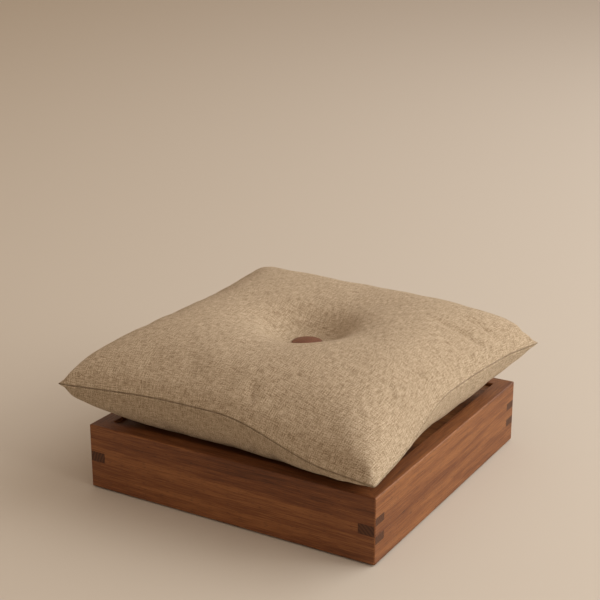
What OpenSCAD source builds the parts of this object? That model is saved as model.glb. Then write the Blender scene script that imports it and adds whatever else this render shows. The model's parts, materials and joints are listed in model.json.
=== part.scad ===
// Tufted floor cushion on a low finger-jointed timber base.
// Millimetres, +Z up, the floor at z = 0 and the origin at the middle of the base.
// The front board faces -Y. The cushion lies loose on the base's deck, a little turned.

/* [Base] */
// Outside length of each side of the square base
base_side = 550; // [440:10:700]
// Height of the base, from the floor to its rim
base_height = 117; // [100:1:160]
// Thickness of the four boards
board_t = 30; // [18:1:36]
// Height of each of the two outer fingers, on the front and back boards
outer_finger_h = 13.5; // [8:0.5:18]
// Height of the middle finger, on the left and right boards
middle_finger_h = 18; // [10:0.5:24]
// Bevel along the boards' edges
arris = 1.5; // [0.5:0.1:3]
// Depth of the deck's top below the rim
deck_drop = 6; // [3:0.5:12]
// Thickness of the deck panel
deck_t = 15; // [12:1:20]
// Gap between the deck panel and each board
deck_gap = 1; // [0.5:0.1:2]
// Width and height of the square cleats under the deck
cleat = 20; // [16:1:26]
// Width of the bearer under the middle of the deck
bearer_w = 45; // [30:1:70]
// Length of the two short sides of each corner block
block_leg = 45; // [30:1:60]
// Height of the corner blocks' lower ends above the boards' lower edges
block_lift = 8; // [4:1:20]
// Diameter of the felt pads
pad_d = 22; // [16:1:28]
// Thickness of the felt pads
pad_t = 2; // [1:0.5:3]

/* [Screws] */
// Diameter of the screws' shanks
screw_d = 4; // [3:0.5:5]
// Diameter of the screws' countersunk heads
screw_head_d = 8; // [7:0.5:10]
// Height of the screws' countersunk heads
screw_head_h = 2.4; // [2:0.1:4]
// How far the cleat screws go into the boards
cleat_screw_bite = 13; // [8:1:16]
// How far the deck screws go into the deck
deck_screw_bite = 9; // [6:1:11]
// Distance of the outer cleat screws from the middle of a side
cleat_screw_reach = 160; // [120:5:190]
// Distance of the deck screws from the middle of a side
deck_screw_reach = 90; // [60:5:110]
// Radial clearance of a screw in the piece that it passes through
screw_clearance = 0.2; // [0.1:0.05:0.5]

/* [Cushion] */
// Distance from the cushion's middle to the seam, at the middle of a side
seam_reach = 280; // [230:5:340]
// How much further out the tips of the corners are, along each side
tip_pull = 27; // [10:1:45]
// Height of the seam above the rim, along the middle of each side
seam_rise = 82; // [70:1:100]
// Height of the front tip above the rim
front_tip_rise = 47; // [40:1:90]
// Height of the left tip above the rim
left_tip_rise = 75; // [40:1:110]
// Height of the right tip above the rim
right_tip_rise = 76; // [40:1:110]
// Height of the back tip above the rim
back_tip_rise = 100; // [40:1:110]
// Height of the crown above the rim
crown_rise = 157; // [130:1:200]
// How much the seat of the top button lies below the crown
top_dimple_depth = 46; // [20:1:60]
// Radius at which the top dimple runs out into the crown
top_dimple_r = 98; // [70:1:130]
// How much the seat of the bottom button lies above the belly
bottom_dimple_depth = 20; // [14:1:30]
// Radius at which the bottom dimple runs out into the belly
bottom_dimple_r = 70; // [50:1:100]
// Turn of the cushion on its base, in degrees
cushion_turn = -1.5; // [-5:0.5:5]
// Shift of the cushion on its base, to the right
cushion_shift_x = -3.5; // [-10:0.5:10]
// Shift of the cushion on its base, to the back
cushion_shift_y = -3; // [-10:0.5:10]
// Gap between the cushion's belly and the deck
rest_gap = 0.4; // [0.3:0.1:1]
// Thickness of the linen cover
cover_t = 1; // [0.6:0.1:1.5]
// Thickness of the cotton inner case
case_t = 0.8; // [0.4:0.1:1.2]
// Gap between the cover, the case and the filling
layer_gap = 0.6; // [0.4:0.1:1.5]
// Room for the zip between the seam and the case, at the edge
case_inset = 8; // [7:0.5:14]

/* [Buttons] */
// Diameter of both buttons
button_d = 55; // [35:1:70]
// Height of the buttons' straight rim
button_rim_h = 3; // [2:0.5:5]
// Height of the top button's dome above its rim
top_dome_h = 6; // [3:0.5:9]
// Height of the bottom button's dome above its rim
bottom_dome_h = 3; // [1:0.5:5]
// Wire diameter of the buttons' shanks
shank_wire = 1.6; // [1:0.1:2]
// Radius of the shanks' loops, to the middle of the wire
shank_r = 4; // [3.5:0.1:5]
// Diameter of the tufting twine
twine_d = 2.4; // [1.5:0.1:2.6]
// Radius of the twine's loops, to the middle of the twine
twine_loop_r = 3; // [2.9:0.1:4]
// Radial room round the shanks in the tufting channel
channel_room = 1.2; // [0.8:0.1:3]

/* [Zip] */
// Length of the zip's coils
zip_length = 330; // [200:10:360]
// Depth of the coils, from front to back
coil_depth = 3; // [2:0.1:4]
// Height of each row of coil
coil_row_h = 1.6; // [1.2:0.1:2.5]
// Gap between the two rows, where the slider's neck runs
coil_split = 1.2; // [0.8:0.1:2]
// Distance of the coils' fronts behind the seam
coil_setback = 1.5; // [1:0.1:3]
// Width of each tape
tape_w = 11; // [8:0.5:13]
// Thickness of the tapes
tape_t = 0.6; // [0.4:0.1:0.8]
// Lean of the tapes, in degrees from upright
tape_lean = 22; // [18:1:26]
// Length of the slider
slider_l = 9; // [7:0.5:12]
// Thickness of the slider's plates
slider_plate_t = 1.2; // [0.8:0.1:1.6]
// Gap between the slider and the coils
slider_gap = 0.3; // [0.2:0.05:0.5]
// Radius of the pull's pin
pull_pin_r = 0.8; // [0.6:0.05:1]
// Radial clearance of the pull's pin in the slider's lug
pull_pin_clearance = 0.08; // [0.03:0.01:0.1]
// Length of the pull, from its pin to its lower end
pull_l = 22; // [15:1:30]
// Width of the pull
pull_w = 6; // [5:0.5:9]
// Thickness of the pull
pull_t = 1.2; // [0.8:0.1:1.6]

/* [Hidden] */

wood = "#8a5330";
dark_wood = "#6d3f24";
pale_wood = "#b58a5c";
linen = "#b3a284";
cotton = "#e6dfcf";
steel = "#9a9a9c";

round_fn = 64;
small_fn = 32;
cut_past = 1;

// Base: heights and plan
board_h = base_height - pad_t;
half_side = base_side / 2;
inner_half = half_side - board_t;
shoulder_h = (board_h - 2 * outer_finger_h - middle_finger_h) / 2;
deck_top = base_height - deck_drop;
deck_bottom = deck_top - deck_t;
cleat_bottom = deck_bottom - cleat;
cleat_half = inner_half - cleat;
cleat_mid = inner_half - cleat / 2;
block_bottom = pad_t + block_lift;
pad_place = half_side - board_t / 2;

// The boards' ends, band by band from the lower edge up
MITRED = 0;
LONG = 1;
SHORT = 2;
BAND_HEIGHTS = [shoulder_h, outer_finger_h, middle_finger_h, outer_finger_h, shoulder_h];
FRONT_ENDS = [MITRED, LONG, SHORT, LONG, MITRED];
SIDE_ENDS = [MITRED, SHORT, LONG, SHORT, MITRED];

// Cushion: heights, and how full it is
belly_z = deck_top + rest_gap;
crown_z = base_height + crown_rise;
seam_z = base_height + seam_rise;
top_seat_z = crown_z - top_dimple_depth;
bottom_seat_z = belly_z + bottom_dimple_depth;
// Corner tips as [side along X, side along Y, rise, share where the seam leaves its level, share where it ends]
zip_flat = 0.62;
TIPS = [
    [1, -1, front_tip_rise, 0, 0.78],
    [-1, -1, left_tip_rise, 0.3, 1],
    [1, 1, right_tip_rise, zip_flat, 1],
    [-1, 1, back_tip_rise, zip_flat, 1]
];
edge_power = 3.5;
top_power = 0.3;
belly_power = 0.53;
filling_rim = 3;
grid_n = 20;
grid_ease = 0.5;
inset_power = 8;

// The belly is level inside the boards, or over its usual share of a small cushion
belly_setback = 30;
belly_share = 0.8;
belly_reach = min(inner_half - belly_setback, belly_share * seam_reach);
belly_spread = 1 / (1 - pow(belly_reach / seam_reach, edge_power));

// Layers: how far each one lies inside the cover's outside, at the edge and at the crown
case_skin = cover_t + layer_gap;
filling_skin = case_skin + case_t + layer_gap;
filling_inset = case_inset + case_t + 4 * layer_gap + filling_rim;

// Buttons
button_r = button_d / 2;
dimple_room = 8;
level_share = 0.18;
dimple_flat = max(button_r + dimple_room, level_share * seam_reach);
seat_gap = 0.2;
top_button_z = top_seat_z + seat_gap;
bottom_button_z = bottom_seat_z - seat_gap;
dome_steps = 8;
shank_plate_t = 1;
shank_plate_r = 9;
shank_drop = shank_plate_t + shank_r + shank_wire / 2;
loop_gap = 0.2;
loop_step = shank_r + twine_loop_r - shank_wire / 2 - twine_d / 2 - loop_gap;
channel_r = shank_r + shank_wire / 2 + channel_room;

// Zip
coil_front = seam_reach - coil_setback;
coil_back = coil_front - coil_depth;
coil_mid = coil_front - coil_depth / 2;
coil_out = coil_split / 2 + coil_row_h;
slot_half = coil_out + 1;
slot_depth = coil_depth + coil_setback + slider_plate_t + 2 * slider_gap;
stop_l = 3;
zip_half = zip_length / 2;
slider_start = zip_half - stop_l - slider_l / 2 - slider_gap;
slider_front = coil_front + slider_gap + slider_plate_t;
slider_half = coil_out + 0.7;
neck_t = coil_split - 2 * slider_gap;
neck_l = 3;
lug_l = 2;
lug_reach = 3.4;
lug_half = 1.9;
pin_place = slider_front + 1.7;
arm_t = 0.8;
arm_gap = 0.3;
arm_drop = 4;

// ---- Base ----

// Section of a board with its four long edges bevelled, run along X
module board_section() {
    rotate([90, 0, 90])
        linear_extrude(base_side, center = true)
            polygon([
                [-half_side + arris, pad_t],
                [-inner_half - arris, pad_t],
                [-inner_half, pad_t + arris],
                [-inner_half, base_height - arris],
                [-inner_half - arris, base_height],
                [-half_side + arris, base_height],
                [-half_side, base_height - arris],
                [-half_side, pad_t + arris]
            ]);
}

// Plan of one band of a board, with ends that are mitred, reach the corner or stop short
module band_plan(ends) {
    outer = ends == SHORT ? inner_half : half_side;
    inner = ends == LONG ? half_side : inner_half;
    polygon([[-outer, -half_side], [outer, -half_side], [inner, -inner_half], [-inner, -inner_half]]);
}

// Plan of the whole base, with its upright corners bevelled
module base_outline() {
    cut = half_side - arris;
    polygon([
        [-cut, -half_side], [cut, -half_side], [half_side, -cut], [half_side, cut],
        [cut, half_side], [-cut, half_side], [-half_side, cut], [-half_side, -cut]
    ]);
}

function band_start(i) = i == 0 ? pad_t : band_start(i - 1) + BAND_HEIGHTS[i - 1];

module board(ends) {
    intersection() {
        board_section();
        union()
            for (i = [0 : len(ends) - 1])
                translate([0, 0, band_start(i)])
                    linear_extrude(BAND_HEIGHTS[i]) band_plan(ends[i]);
        translate([0, 0, pad_t])
            linear_extrude(board_h) base_outline();
    }
}

// A countersunk screw along +Z, with its head's flat face at the origin
module screw(length, clearance = 0) {
    translate([0, 0, -clearance])
        cylinder(h = length + 2 * clearance, r = screw_d / 2 + clearance, $fn = small_fn);
    cylinder(h = screw_head_h, r1 = screw_head_d / 2 + clearance, r2 = screw_d / 2 + clearance, $fn = small_fn);
}

// Puts a screw at each place where one holds the front cleat to its board
module at_cleat_screws() {
    for (x = [-cleat_screw_reach, 0, cleat_screw_reach])
        translate([x, -cleat_half, deck_bottom - cleat / 2])
            rotate([90, 0, 0]) children();
}

// Puts a screw at each place where one holds the deck to the front cleat
module at_deck_screws() {
    for (x = [-deck_screw_reach, deck_screw_reach])
        translate([x, -cleat_mid, cleat_bottom]) children();
}

// Puts a screw at each place where one holds the deck to its bearer
module at_bearer_screws() {
    for (x = [-deck_screw_reach, deck_screw_reach])
        translate([x, 0, cleat_bottom]) children();
}

cleat_screw_l = cleat + cleat_screw_bite;
deck_screw_l = cleat + deck_screw_bite;

// A board of the front's shape, with the pilot holes of its cleat's screws
module drilled_board(ends) {
    color(wood)
        difference() {
            board(ends);
            at_cleat_screws() cylinder(h = cleat_screw_l, r = screw_d / 2, $fn = small_fn);
        }
}

// A cleat along the front board, as long as twice the half length given
module drilled_cleat(half_length) {
    color(pale_wood)
        difference() {
            translate([-half_length, -inner_half, cleat_bottom])
                cube([2 * half_length, cleat, cleat]);
            at_cleat_screws() screw(cleat_screw_l, screw_clearance);
            at_deck_screws() screw(deck_screw_l, screw_clearance);
        }
}

module front_board() { drilled_board(FRONT_ENDS); }
module back_board() { rotate([0, 0, 180]) drilled_board(FRONT_ENDS); }
module left_board() { rotate([0, 0, -90]) drilled_board(SIDE_ENDS); }
module right_board() { rotate([0, 0, 90]) drilled_board(SIDE_ENDS); }

module front_cleat() { drilled_cleat(inner_half); }
module back_cleat() { rotate([0, 0, 180]) drilled_cleat(inner_half); }
module left_cleat() { rotate([0, 0, -90]) drilled_cleat(cleat_half); }
module right_cleat() { rotate([0, 0, 90]) drilled_cleat(cleat_half); }

module deck_panel() {
    reach = inner_half - deck_gap;
    color(dark_wood)
        difference() {
            translate([-reach, -reach, deck_bottom])
                cube([2 * reach, 2 * reach, deck_t]);
            for (turn = [0 : 90 : 270])
                rotate([0, 0, turn])
                    at_deck_screws() cylinder(h = deck_screw_l, r = screw_d / 2, $fn = small_fn);
            at_bearer_screws() cylinder(h = deck_screw_l, r = screw_d / 2, $fn = small_fn);
        }
}

module deck_bearer() {
    color(pale_wood)
        difference() {
            translate([-cleat_half, -bearer_w / 2, cleat_bottom])
                cube([2 * cleat_half, bearer_w, cleat]);
            at_bearer_screws() screw(deck_screw_l, screw_clearance);
        }
}

module corner_block(turn) {
    color(pale_wood)
        rotate([0, 0, turn])
            translate([-inner_half, -inner_half, block_bottom])
                linear_extrude(cleat_bottom - block_bottom)
                    polygon([[0, 0], [block_leg, 0], [0, block_leg]]);
}

module corner_block_front_left() { corner_block(0); }
module corner_block_front_right() { corner_block(90); }
module corner_block_back_right() { corner_block(180); }
module corner_block_back_left() { corner_block(270); }

module cleat_screws() {
    color(steel)
        for (turn = [0 : 90 : 270])
            rotate([0, 0, turn])
                at_cleat_screws() screw(cleat_screw_l);
}

module deck_screws() {
    color(steel) {
        for (turn = [0 : 90 : 270])
            rotate([0, 0, turn])
                at_deck_screws() screw(deck_screw_l);
        at_bearer_screws() screw(deck_screw_l);
    }
}

module foot_pad(turn) {
    color("#4a4038")
        rotate([0, 0, turn])
            translate([-pad_place, -pad_place, 0])
                cylinder(h = pad_t, r = pad_d / 2, $fn = round_fn);
}

module foot_pad_front_left() { foot_pad(0); }
module foot_pad_front_right() { foot_pad(90); }
module foot_pad_back_right() { foot_pad(180); }
module foot_pad_back_left() { foot_pad(270); }

// ---- Cushion surface ----
// u and v run from -1 to 1 across the cushion: u to the right, v to the back.

// A smooth step from 0 to 1
function smooth(t) = let (s = min(1, max(0, t))) s * s * (3 - 2 * s);

// Grid values from -1 to 1, closer together at the middle and at the edges
function grid_value(i) = let (t = 2 * i / grid_n - 1) t - grid_ease * sin(360 * t) / (2 * PI);

// How far out a side has come at share t of its length: the zip keeps the back seam straight
function outward(t, has_zip) = has_zip ? smooth((abs(t) - zip_flat) / (1 - zip_flat)) : t * t;

// An inner layer lies inset from the seam, and keeps the cover's plan over the rest of the cushion
function drawn_in(t, inset) = sign(t) * inset * pow(abs(t), inset_power);

function plan_point(u, v, inset) = [
    u * (seam_reach + tip_pull * outward(v, false)) - drawn_in(u, inset),
    v * (seam_reach + tip_pull * outward(u, v > 0)) - drawn_in(v, inset)
];

// Height of the seam's surface, which each tip raises or lowers near itself
function tip_share(t, from, to) = smooth((t - from) / (to - from));
function seam_height(u, v, i = 0) =
    i == len(TIPS)
        ? seam_z
        : (TIPS[i][2] - seam_rise)
            * tip_share(u * TIPS[i][0], TIPS[i][3], TIPS[i][4])
            * tip_share(v * TIPS[i][1], TIPS[i][3], TIPS[i][4])
            + seam_height(u, v, i + 1);

// Share of the full height above or below the seam
function edge_fall(u, v) = (1 - pow(abs(u), edge_power)) * (1 - pow(abs(v), edge_power));
function top_fullness(u, v) = pow(edge_fall(u, v), top_power);
function belly_fullness(u, v) = pow(min(1, belly_spread * edge_fall(u, v)), belly_power);

// Depth of a dimple at radius r, level under the button and smooth out to reach
function dimple(r, depth, reach) = depth * (1 - smooth((r - dimple_flat) / (reach - dimple_flat)));

// A layer's surface never comes closer to the seam's level than its rim
function top_point(u, v, inset, skin, rim) =
    let (
        p = plan_point(u, v, inset),
        edge = seam_height(u, v),
        full = edge + (crown_z - skin - edge) * top_fullness(u, v)
    )
    [p.x, p.y, max(edge + rim, full - dimple(norm(p), top_dimple_depth, top_dimple_r))];

function bottom_point(u, v, inset, skin, rim) =
    let (
        p = plan_point(u, v, inset),
        edge = seam_height(u, v),
        full = edge - (edge - belly_z - skin) * belly_fullness(u, v)
    )
    [p.x, p.y, min(edge - rim, full + dimple(norm(p), bottom_dimple_depth, bottom_dimple_r))];

function top_grid(inset, skin, rim = 0) = [
    for (i = [0 : grid_n]) for (j = [0 : grid_n])
        top_point(grid_value(i), grid_value(j), inset, skin, rim)
];
function bottom_grid(inset, skin, rim = 0) = [
    for (i = [0 : grid_n]) for (j = [0 : grid_n])
        bottom_point(grid_value(i), grid_value(j), inset, skin, rim)
];

function at(i, j) = i * (grid_n + 1) + j;
// The grid's edge, once round, counter-clockwise from above
EDGE_LOOP = concat(
    [for (i = [0 : grid_n - 1]) at(i, 0)],
    [for (j = [0 : grid_n - 1]) at(grid_n, j)],
    [for (i = [grid_n : -1 : 1]) at(i, grid_n)],
    [for (j = [grid_n : -1 : 1]) at(0, j)]
);

// A cell's two triangles, clockwise from above, split along the diagonal that points at its tip
function cell_faces(i, j) =
    let (a = at(i, j), b = at(i + 1, j), c = at(i + 1, j + 1), d = at(i, j + 1))
    (2 * i + 1 - grid_n) * (2 * j + 1 - grid_n) > 0 ? [[a, d, c], [a, c, b]] : [[a, d, b], [b, d, c]];
GRID_FACES = [for (i = [0 : grid_n - 1]) for (j = [0 : grid_n - 1]) each cell_faces(i, j)];

// The closed solid between an upper and a lower grid
module between(upper, lower) {
    count = len(upper);
    turns = len(EDGE_LOOP);
    faces = concat(
        [for (f = GRID_FACES) [f[0], f[1], f[2]]],
        [for (f = GRID_FACES) [count + f[2], count + f[1], count + f[0]]],
        [for (k = [0 : turns - 1]) let (a = EDGE_LOOP[k], b = EDGE_LOOP[(k + 1) % turns]) [a, b, count + b]],
        [for (k = [0 : turns - 1]) let (a = EDGE_LOOP[k], b = EDGE_LOOP[(k + 1) % turns]) [a, count + b, count + a]]
    );
    polyhedron(points = concat(upper, lower), faces = faces, convexity = 8);
}

// ---- Cushion ----

module on_base() {
    translate([cushion_shift_x, cushion_shift_y, 0])
        rotate([0, 0, cushion_turn]) children();
}

// The way through the middle for the twine and the shanks
module tufting_channel() {
    translate([0, 0, belly_z])
        cylinder(h = crown_z - belly_z, r = channel_r, $fn = round_fn);
}

// The opening in the back seam that shows the zip
module zip_slot() {
    translate([-zip_half - cut_past, seam_reach - slot_depth, seam_z - slot_half])
        cube([zip_length + 2 * cut_past, slot_depth + cut_past, 2 * slot_half]);
}

module cover_top() {
    color(linen)
        on_base()
            difference() {
                between(top_grid(0, 0), top_grid(cover_t, cover_t));
                tufting_channel();
                zip_slot();
            }
}

module cover_bottom() {
    color(linen)
        on_base()
            difference() {
                between(bottom_grid(cover_t, cover_t), bottom_grid(0, 0));
                tufting_channel();
                zip_slot();
            }
}

module case_top() {
    color(cotton)
        on_base()
            difference() {
                between(top_grid(case_inset, case_skin), top_grid(case_inset + case_t, case_skin + case_t));
                tufting_channel();
            }
}

module case_bottom() {
    color(cotton)
        on_base()
            difference() {
                between(bottom_grid(case_inset + case_t, case_skin + case_t), bottom_grid(case_inset, case_skin));
                tufting_channel();
            }
}

module filling() {
    color("white")
        on_base()
            difference() {
                between(
                    top_grid(filling_inset, filling_skin, filling_rim),
                    bottom_grid(filling_inset, filling_skin, filling_rim)
                );
                tufting_channel();
            }
}

// ---- Buttons and twine ----

// A domed button standing on z = 0, with a recess under it for its shank's plate
module button(dome_h) {
    dome_r = (button_r * button_r + dome_h * dome_h) / (2 * dome_h);
    dome_angle = asin(button_r / dome_r);
    rotate_extrude($fn = round_fn)
        polygon(concat(
            [[0, shank_plate_t], [shank_plate_r, shank_plate_t], [shank_plate_r, 0], [button_r, 0]],
            [for (i = [dome_steps : -1 : 0])
                let (angle = dome_angle * i / dome_steps)
                [dome_r * sin(angle), button_rim_h + dome_h - dome_r * (1 - cos(angle))]]
        ));
}

// A ring of round wire standing upright in the plane of Y
module ring(r, wire) {
    rotate([90, 0, 0])
        rotate_extrude($fn = round_fn)
            translate([r, 0]) circle(d = wire, $fn = small_fn);
}

// A plate with a wire loop under it, its upper face at z = 0
module shank() {
    translate([0, 0, -shank_plate_t])
        cylinder(h = shank_plate_t, r = shank_plate_r, $fn = round_fn);
    translate([0, 0, -shank_drop + shank_wire / 4])
        ring(shank_r, shank_wire);
}

module top_button() {
    color("#7a4a30")
        on_base()
            translate([0, 0, top_button_z]) button(top_dome_h);
}

module bottom_button() {
    color("#7a4a30")
        on_base()
            translate([0, 0, bottom_button_z]) mirror([0, 0, 1]) button(bottom_dome_h);
}

module top_button_shank() {
    color(steel)
        on_base()
            translate([0, 0, top_button_z + shank_plate_t]) shank();
}

module bottom_button_shank() {
    color(steel)
        on_base()
            translate([0, 0, bottom_button_z - shank_plate_t]) mirror([0, 0, 1]) shank();
}

module tufting_twine() {
    upper_loop = top_button_z + shank_plate_t - shank_drop + shank_wire / 4 - loop_step;
    lower_loop = bottom_button_z - shank_plate_t + shank_drop - shank_wire / 4 + loop_step;
    color("#d8cbb0")
        on_base() {
            translate([0, 0, upper_loop]) rotate([0, 0, 90]) ring(twine_loop_r, twine_d);
            translate([0, 0, lower_loop]) rotate([0, 0, 90]) ring(twine_loop_r, twine_d);
            translate([0, 0, lower_loop + twine_loop_r])
                cylinder(h = upper_loop - lower_loop - 2 * twine_loop_r, d = twine_d, $fn = small_fn);
        }
}

// ---- Zip ----

// Upper half of the zip's parts, run along X about the seam's level
module tape_half() {
    reach_y = tape_w * sin(tape_lean);
    reach_z = tape_w * cos(tape_lean);
    half = tape_t / 2;
    rotate([90, 0, 90])
        linear_extrude(zip_length, center = true)
            polygon([
                [coil_mid - half, coil_out],
                [coil_mid + half, coil_out],
                [coil_mid + half - reach_y, coil_out + reach_z],
                [coil_mid - half - reach_y, coil_out + reach_z]
            ]);
}

module coil_half() {
    translate([-zip_half + stop_l, coil_back, coil_split / 2])
        cube([zip_length - 2 * stop_l, coil_depth, coil_row_h]);
}

module at_seam() {
    on_base() translate([0, 0, seam_z]) children();
}

module zip_tape_upper() { color("#a89878") at_seam() tape_half(); }
module zip_tape_lower() { color("#a89878") at_seam() mirror([0, 0, 1]) tape_half(); }
module zip_coil_upper() { color("#998868") at_seam() coil_half(); }
module zip_coil_lower() { color("#998868") at_seam() mirror([0, 0, 1]) coil_half(); }

module zip_end_stops() {
    color(steel)
        at_seam()
            for (side = [-1, 1])
                translate([side * (zip_half - stop_l / 2), coil_mid, 0])
                    cube([stop_l, coil_depth, 2 * coil_out], center = true);
}

module zip_slider() {
    plate_h = 2 * slider_half;
    color(steel)
        at_seam()
            translate([slider_start, 0, 0]) {
                // Front and back plates, joined by the neck that runs between the coils
                translate([-slider_l / 2, coil_front + slider_gap, -slider_half])
                    cube([slider_l, slider_plate_t, plate_h]);
                translate([-slider_l / 2, coil_back - slider_gap - slider_plate_t, -slider_half])
                    cube([slider_l, slider_plate_t, plate_h]);
                translate([-neck_l / 2, coil_back - slider_gap - slider_plate_t, -neck_t / 2])
                    cube([neck_l, coil_depth + 2 * slider_gap + 2 * slider_plate_t, neck_t]);
                // Lug that holds the pull's pin
                difference() {
                    translate([-lug_l / 2, slider_front, -lug_half])
                        cube([lug_l, lug_reach, 2 * lug_half]);
                    translate([-lug_l, pin_place, 0])
                        rotate([0, 90, 0])
                            cylinder(h = 2 * lug_l, r = pull_pin_r + pull_pin_clearance, $fn = small_fn);
                }
            }
}

module zip_pull() {
    inner = lug_l / 2 + arm_gap;
    color(steel)
        at_seam()
            translate([slider_start, pin_place, 0]) {
                translate([-inner - arm_t, 0, 0])
                    rotate([0, 90, 0])
                        cylinder(h = 2 * (inner + arm_t), r = pull_pin_r, $fn = small_fn);
                for (side = [-1, 1])
                    translate([side * (inner + arm_t / 2), 0, -arm_drop / 2])
                        cube([arm_t, pull_t, arm_drop + 2 * pull_pin_r], center = true);
                translate([0, 0, -arm_drop])
                    difference() {
                        union() {
                            translate([-pull_w / 2, -pull_t / 2, -pull_l + arm_drop + pull_w / 2])
                                cube([pull_w, pull_t, pull_l - arm_drop - pull_w / 2]);
                            translate([0, pull_t / 2, -pull_l + arm_drop + pull_w / 2])
                                rotate([90, 0, 0]) cylinder(h = pull_t, r = pull_w / 2, $fn = small_fn);
                        }
                        translate([0, pull_t, -pull_l + arm_drop + pull_w / 2])
                            rotate([90, 0, 0]) cylinder(h = 2 * pull_t, r = pull_w / 4, $fn = small_fn);
                    }
            }
}

front_board();
back_board();
left_board();
right_board();
deck_panel();
front_cleat();
back_cleat();
left_cleat();
right_cleat();
deck_bearer();
corner_block_front_left();
corner_block_front_right();
corner_block_back_left();
corner_block_back_right();
cleat_screws();
deck_screws();
foot_pad_front_left();
foot_pad_front_right();
foot_pad_back_left();
foot_pad_back_right();
cover_top();
cover_bottom();
case_top();
case_bottom();
filling();
top_button();
bottom_button();
top_button_shank();
bottom_button_shank();
tufting_twine();
zip_tape_upper();
zip_tape_lower();
zip_coil_upper();
zip_coil_lower();
zip_end_stops();
zip_slider();
zip_pull();
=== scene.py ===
# %% [markdown]
# # A tufted floor cushion on its timber base
# The cushion is a linen cover over a stuffed cotton case, pulled in at the middle by two leather buttons.
# It lies loose in a low tray of finger-jointed hardwood. The engineering model already holds every size, so
# this lesson starts by loading it as a fixed frame, and each soft or worn-looking piece is then built
# around it, in metres, in the same frame.

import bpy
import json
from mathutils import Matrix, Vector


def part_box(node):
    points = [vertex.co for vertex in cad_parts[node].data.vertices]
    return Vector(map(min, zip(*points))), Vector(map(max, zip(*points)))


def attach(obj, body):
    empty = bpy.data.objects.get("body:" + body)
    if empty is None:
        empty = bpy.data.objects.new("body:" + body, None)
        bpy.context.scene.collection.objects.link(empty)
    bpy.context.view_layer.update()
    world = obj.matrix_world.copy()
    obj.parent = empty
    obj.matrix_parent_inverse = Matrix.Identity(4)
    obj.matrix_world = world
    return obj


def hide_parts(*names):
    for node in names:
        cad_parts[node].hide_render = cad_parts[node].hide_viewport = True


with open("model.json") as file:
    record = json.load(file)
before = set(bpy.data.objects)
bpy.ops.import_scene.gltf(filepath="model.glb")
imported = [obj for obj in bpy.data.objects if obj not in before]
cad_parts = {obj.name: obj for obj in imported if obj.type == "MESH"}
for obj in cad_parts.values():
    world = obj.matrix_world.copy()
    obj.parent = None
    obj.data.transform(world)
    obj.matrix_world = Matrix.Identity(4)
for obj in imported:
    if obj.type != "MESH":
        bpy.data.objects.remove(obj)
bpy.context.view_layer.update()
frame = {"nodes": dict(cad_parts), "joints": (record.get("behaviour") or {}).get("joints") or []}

# %% [markdown]
# ## Tools
# Everything here is built with two of Blender's own libraries: bmesh, which shapes a mesh with the editor's
# operators, and the node trees, which mix a material from patterns. Blender works in linear light, so a
# listed colour is turned from sRGB first. One function adds any node, which keeps the materials
# below short.

# %% Tools of the trade
import json
import math

import bmesh
import bpy
import numpy as np
from mathutils import Matrix, Vector, noise

MM = 0.001
UP = Vector((0, 0, 1))


def linear(colour):
    """The linear colour that an sRGB hex value stands for, with an alpha of 1."""
    parts = [int(colour[i:i + 2], 16) / 255 for i in (1, 3, 5)]
    return [c / 12.92 if c <= 0.04045 else ((c + 0.055) / 1.055) ** 2.4 for c in parts] + [1.0]


def add(tree, kind, inputs=None, out=None, stops=(), **settings):
    """Adds a node with its settings, inputs and ramp stops, and returns it, or one of its outputs.

    An input is a number, a hex colour, a vector or another node's output.
    """
    made = tree.nodes.new(kind)
    for name, value in settings.items():
        setattr(made, name, value)
    for name, value in (inputs or {}).items():
        if isinstance(value, bpy.types.NodeSocket):
            tree.links.new(value, made.inputs[name])
        elif isinstance(value, str):
            made.inputs[name].default_value = linear(value)
        else:
            made.inputs[name].default_value = value
    for k, (place, colour) in enumerate(stops):
        element = made.color_ramp.elements[k] if k < 2 else made.color_ramp.elements.new(place)
        element.position = place
        element.color = linear(colour)
    return made if out is None else made.outputs[out]


print("tools: colours from hex, and one function that adds a node")

# %% [markdown]
# ## Looking at it
# The cushion is seen from a little above, across its front corner. A long lens from over two metres away
# keeps its sides nearly parallel, so that it reads as a product and not as a room.

# %% Camera
camera_place = Vector((1.1336, -1.9586, 1.0697))
camera_azimuth = 30.498
camera_elevation = 18.608
camera_lens = 82.92

lens = bpy.data.cameras.new("camera")
lens.lens = camera_lens
camera = bpy.data.objects.new("camera", lens)
camera.location = camera_place
camera.rotation_euler = (math.radians(90 - camera_elevation), 0, math.radians(camera_azimuth))
bpy.context.scene.collection.objects.link(camera)
bpy.context.scene.camera = camera
print("camera:", round(camera_place.length, 2), "m away")

# %% [markdown]
# ## Floor and light
# The floor is a wide disc of warm paper, so that its far edge is never seen, and its colour is painted
# paler towards the lights, a painted gradient of light. A soft studio light is a large panel, and the larger
# it is the softer its shadows. One panel stands to the right and behind, and a weaker one lower on the right.
# The world stands for light that has bounced round a pale room, more of it from the side of the panels.

# %% Floor
floor_radius = 60.0
# Painted light: the paper's colour grows paler towards the lights, in this direction
painted_light_towards = (0.19, 0.11, 0)
paper = bpy.data.materials.new("seamless_paper")
paper.use_nodes = True
tree = paper.node_tree
shader = tree.nodes["Principled BSDF"]
place = add(tree, "ShaderNodeTexCoord", out="Object")
across = add(tree, "ShaderNodeVectorMath", {0: place, 1: painted_light_towards}, out="Value", operation="DOT_PRODUCT")
share = add(tree, "ShaderNodeMath", {0: across, 1: 0.5}, out=0, operation="ADD", use_clamp=True)
tone = add(tree, "ShaderNodeMix", {0: share, 6: "#bdb4a6", 7: "#cfcbc5"}, out=2, data_type="RGBA")
tree.links.new(tone, shader.inputs["Base Color"])
shader.inputs["Roughness"].default_value = 0.9
shader.inputs["Specular IOR Level"].default_value = 0.2

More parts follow.
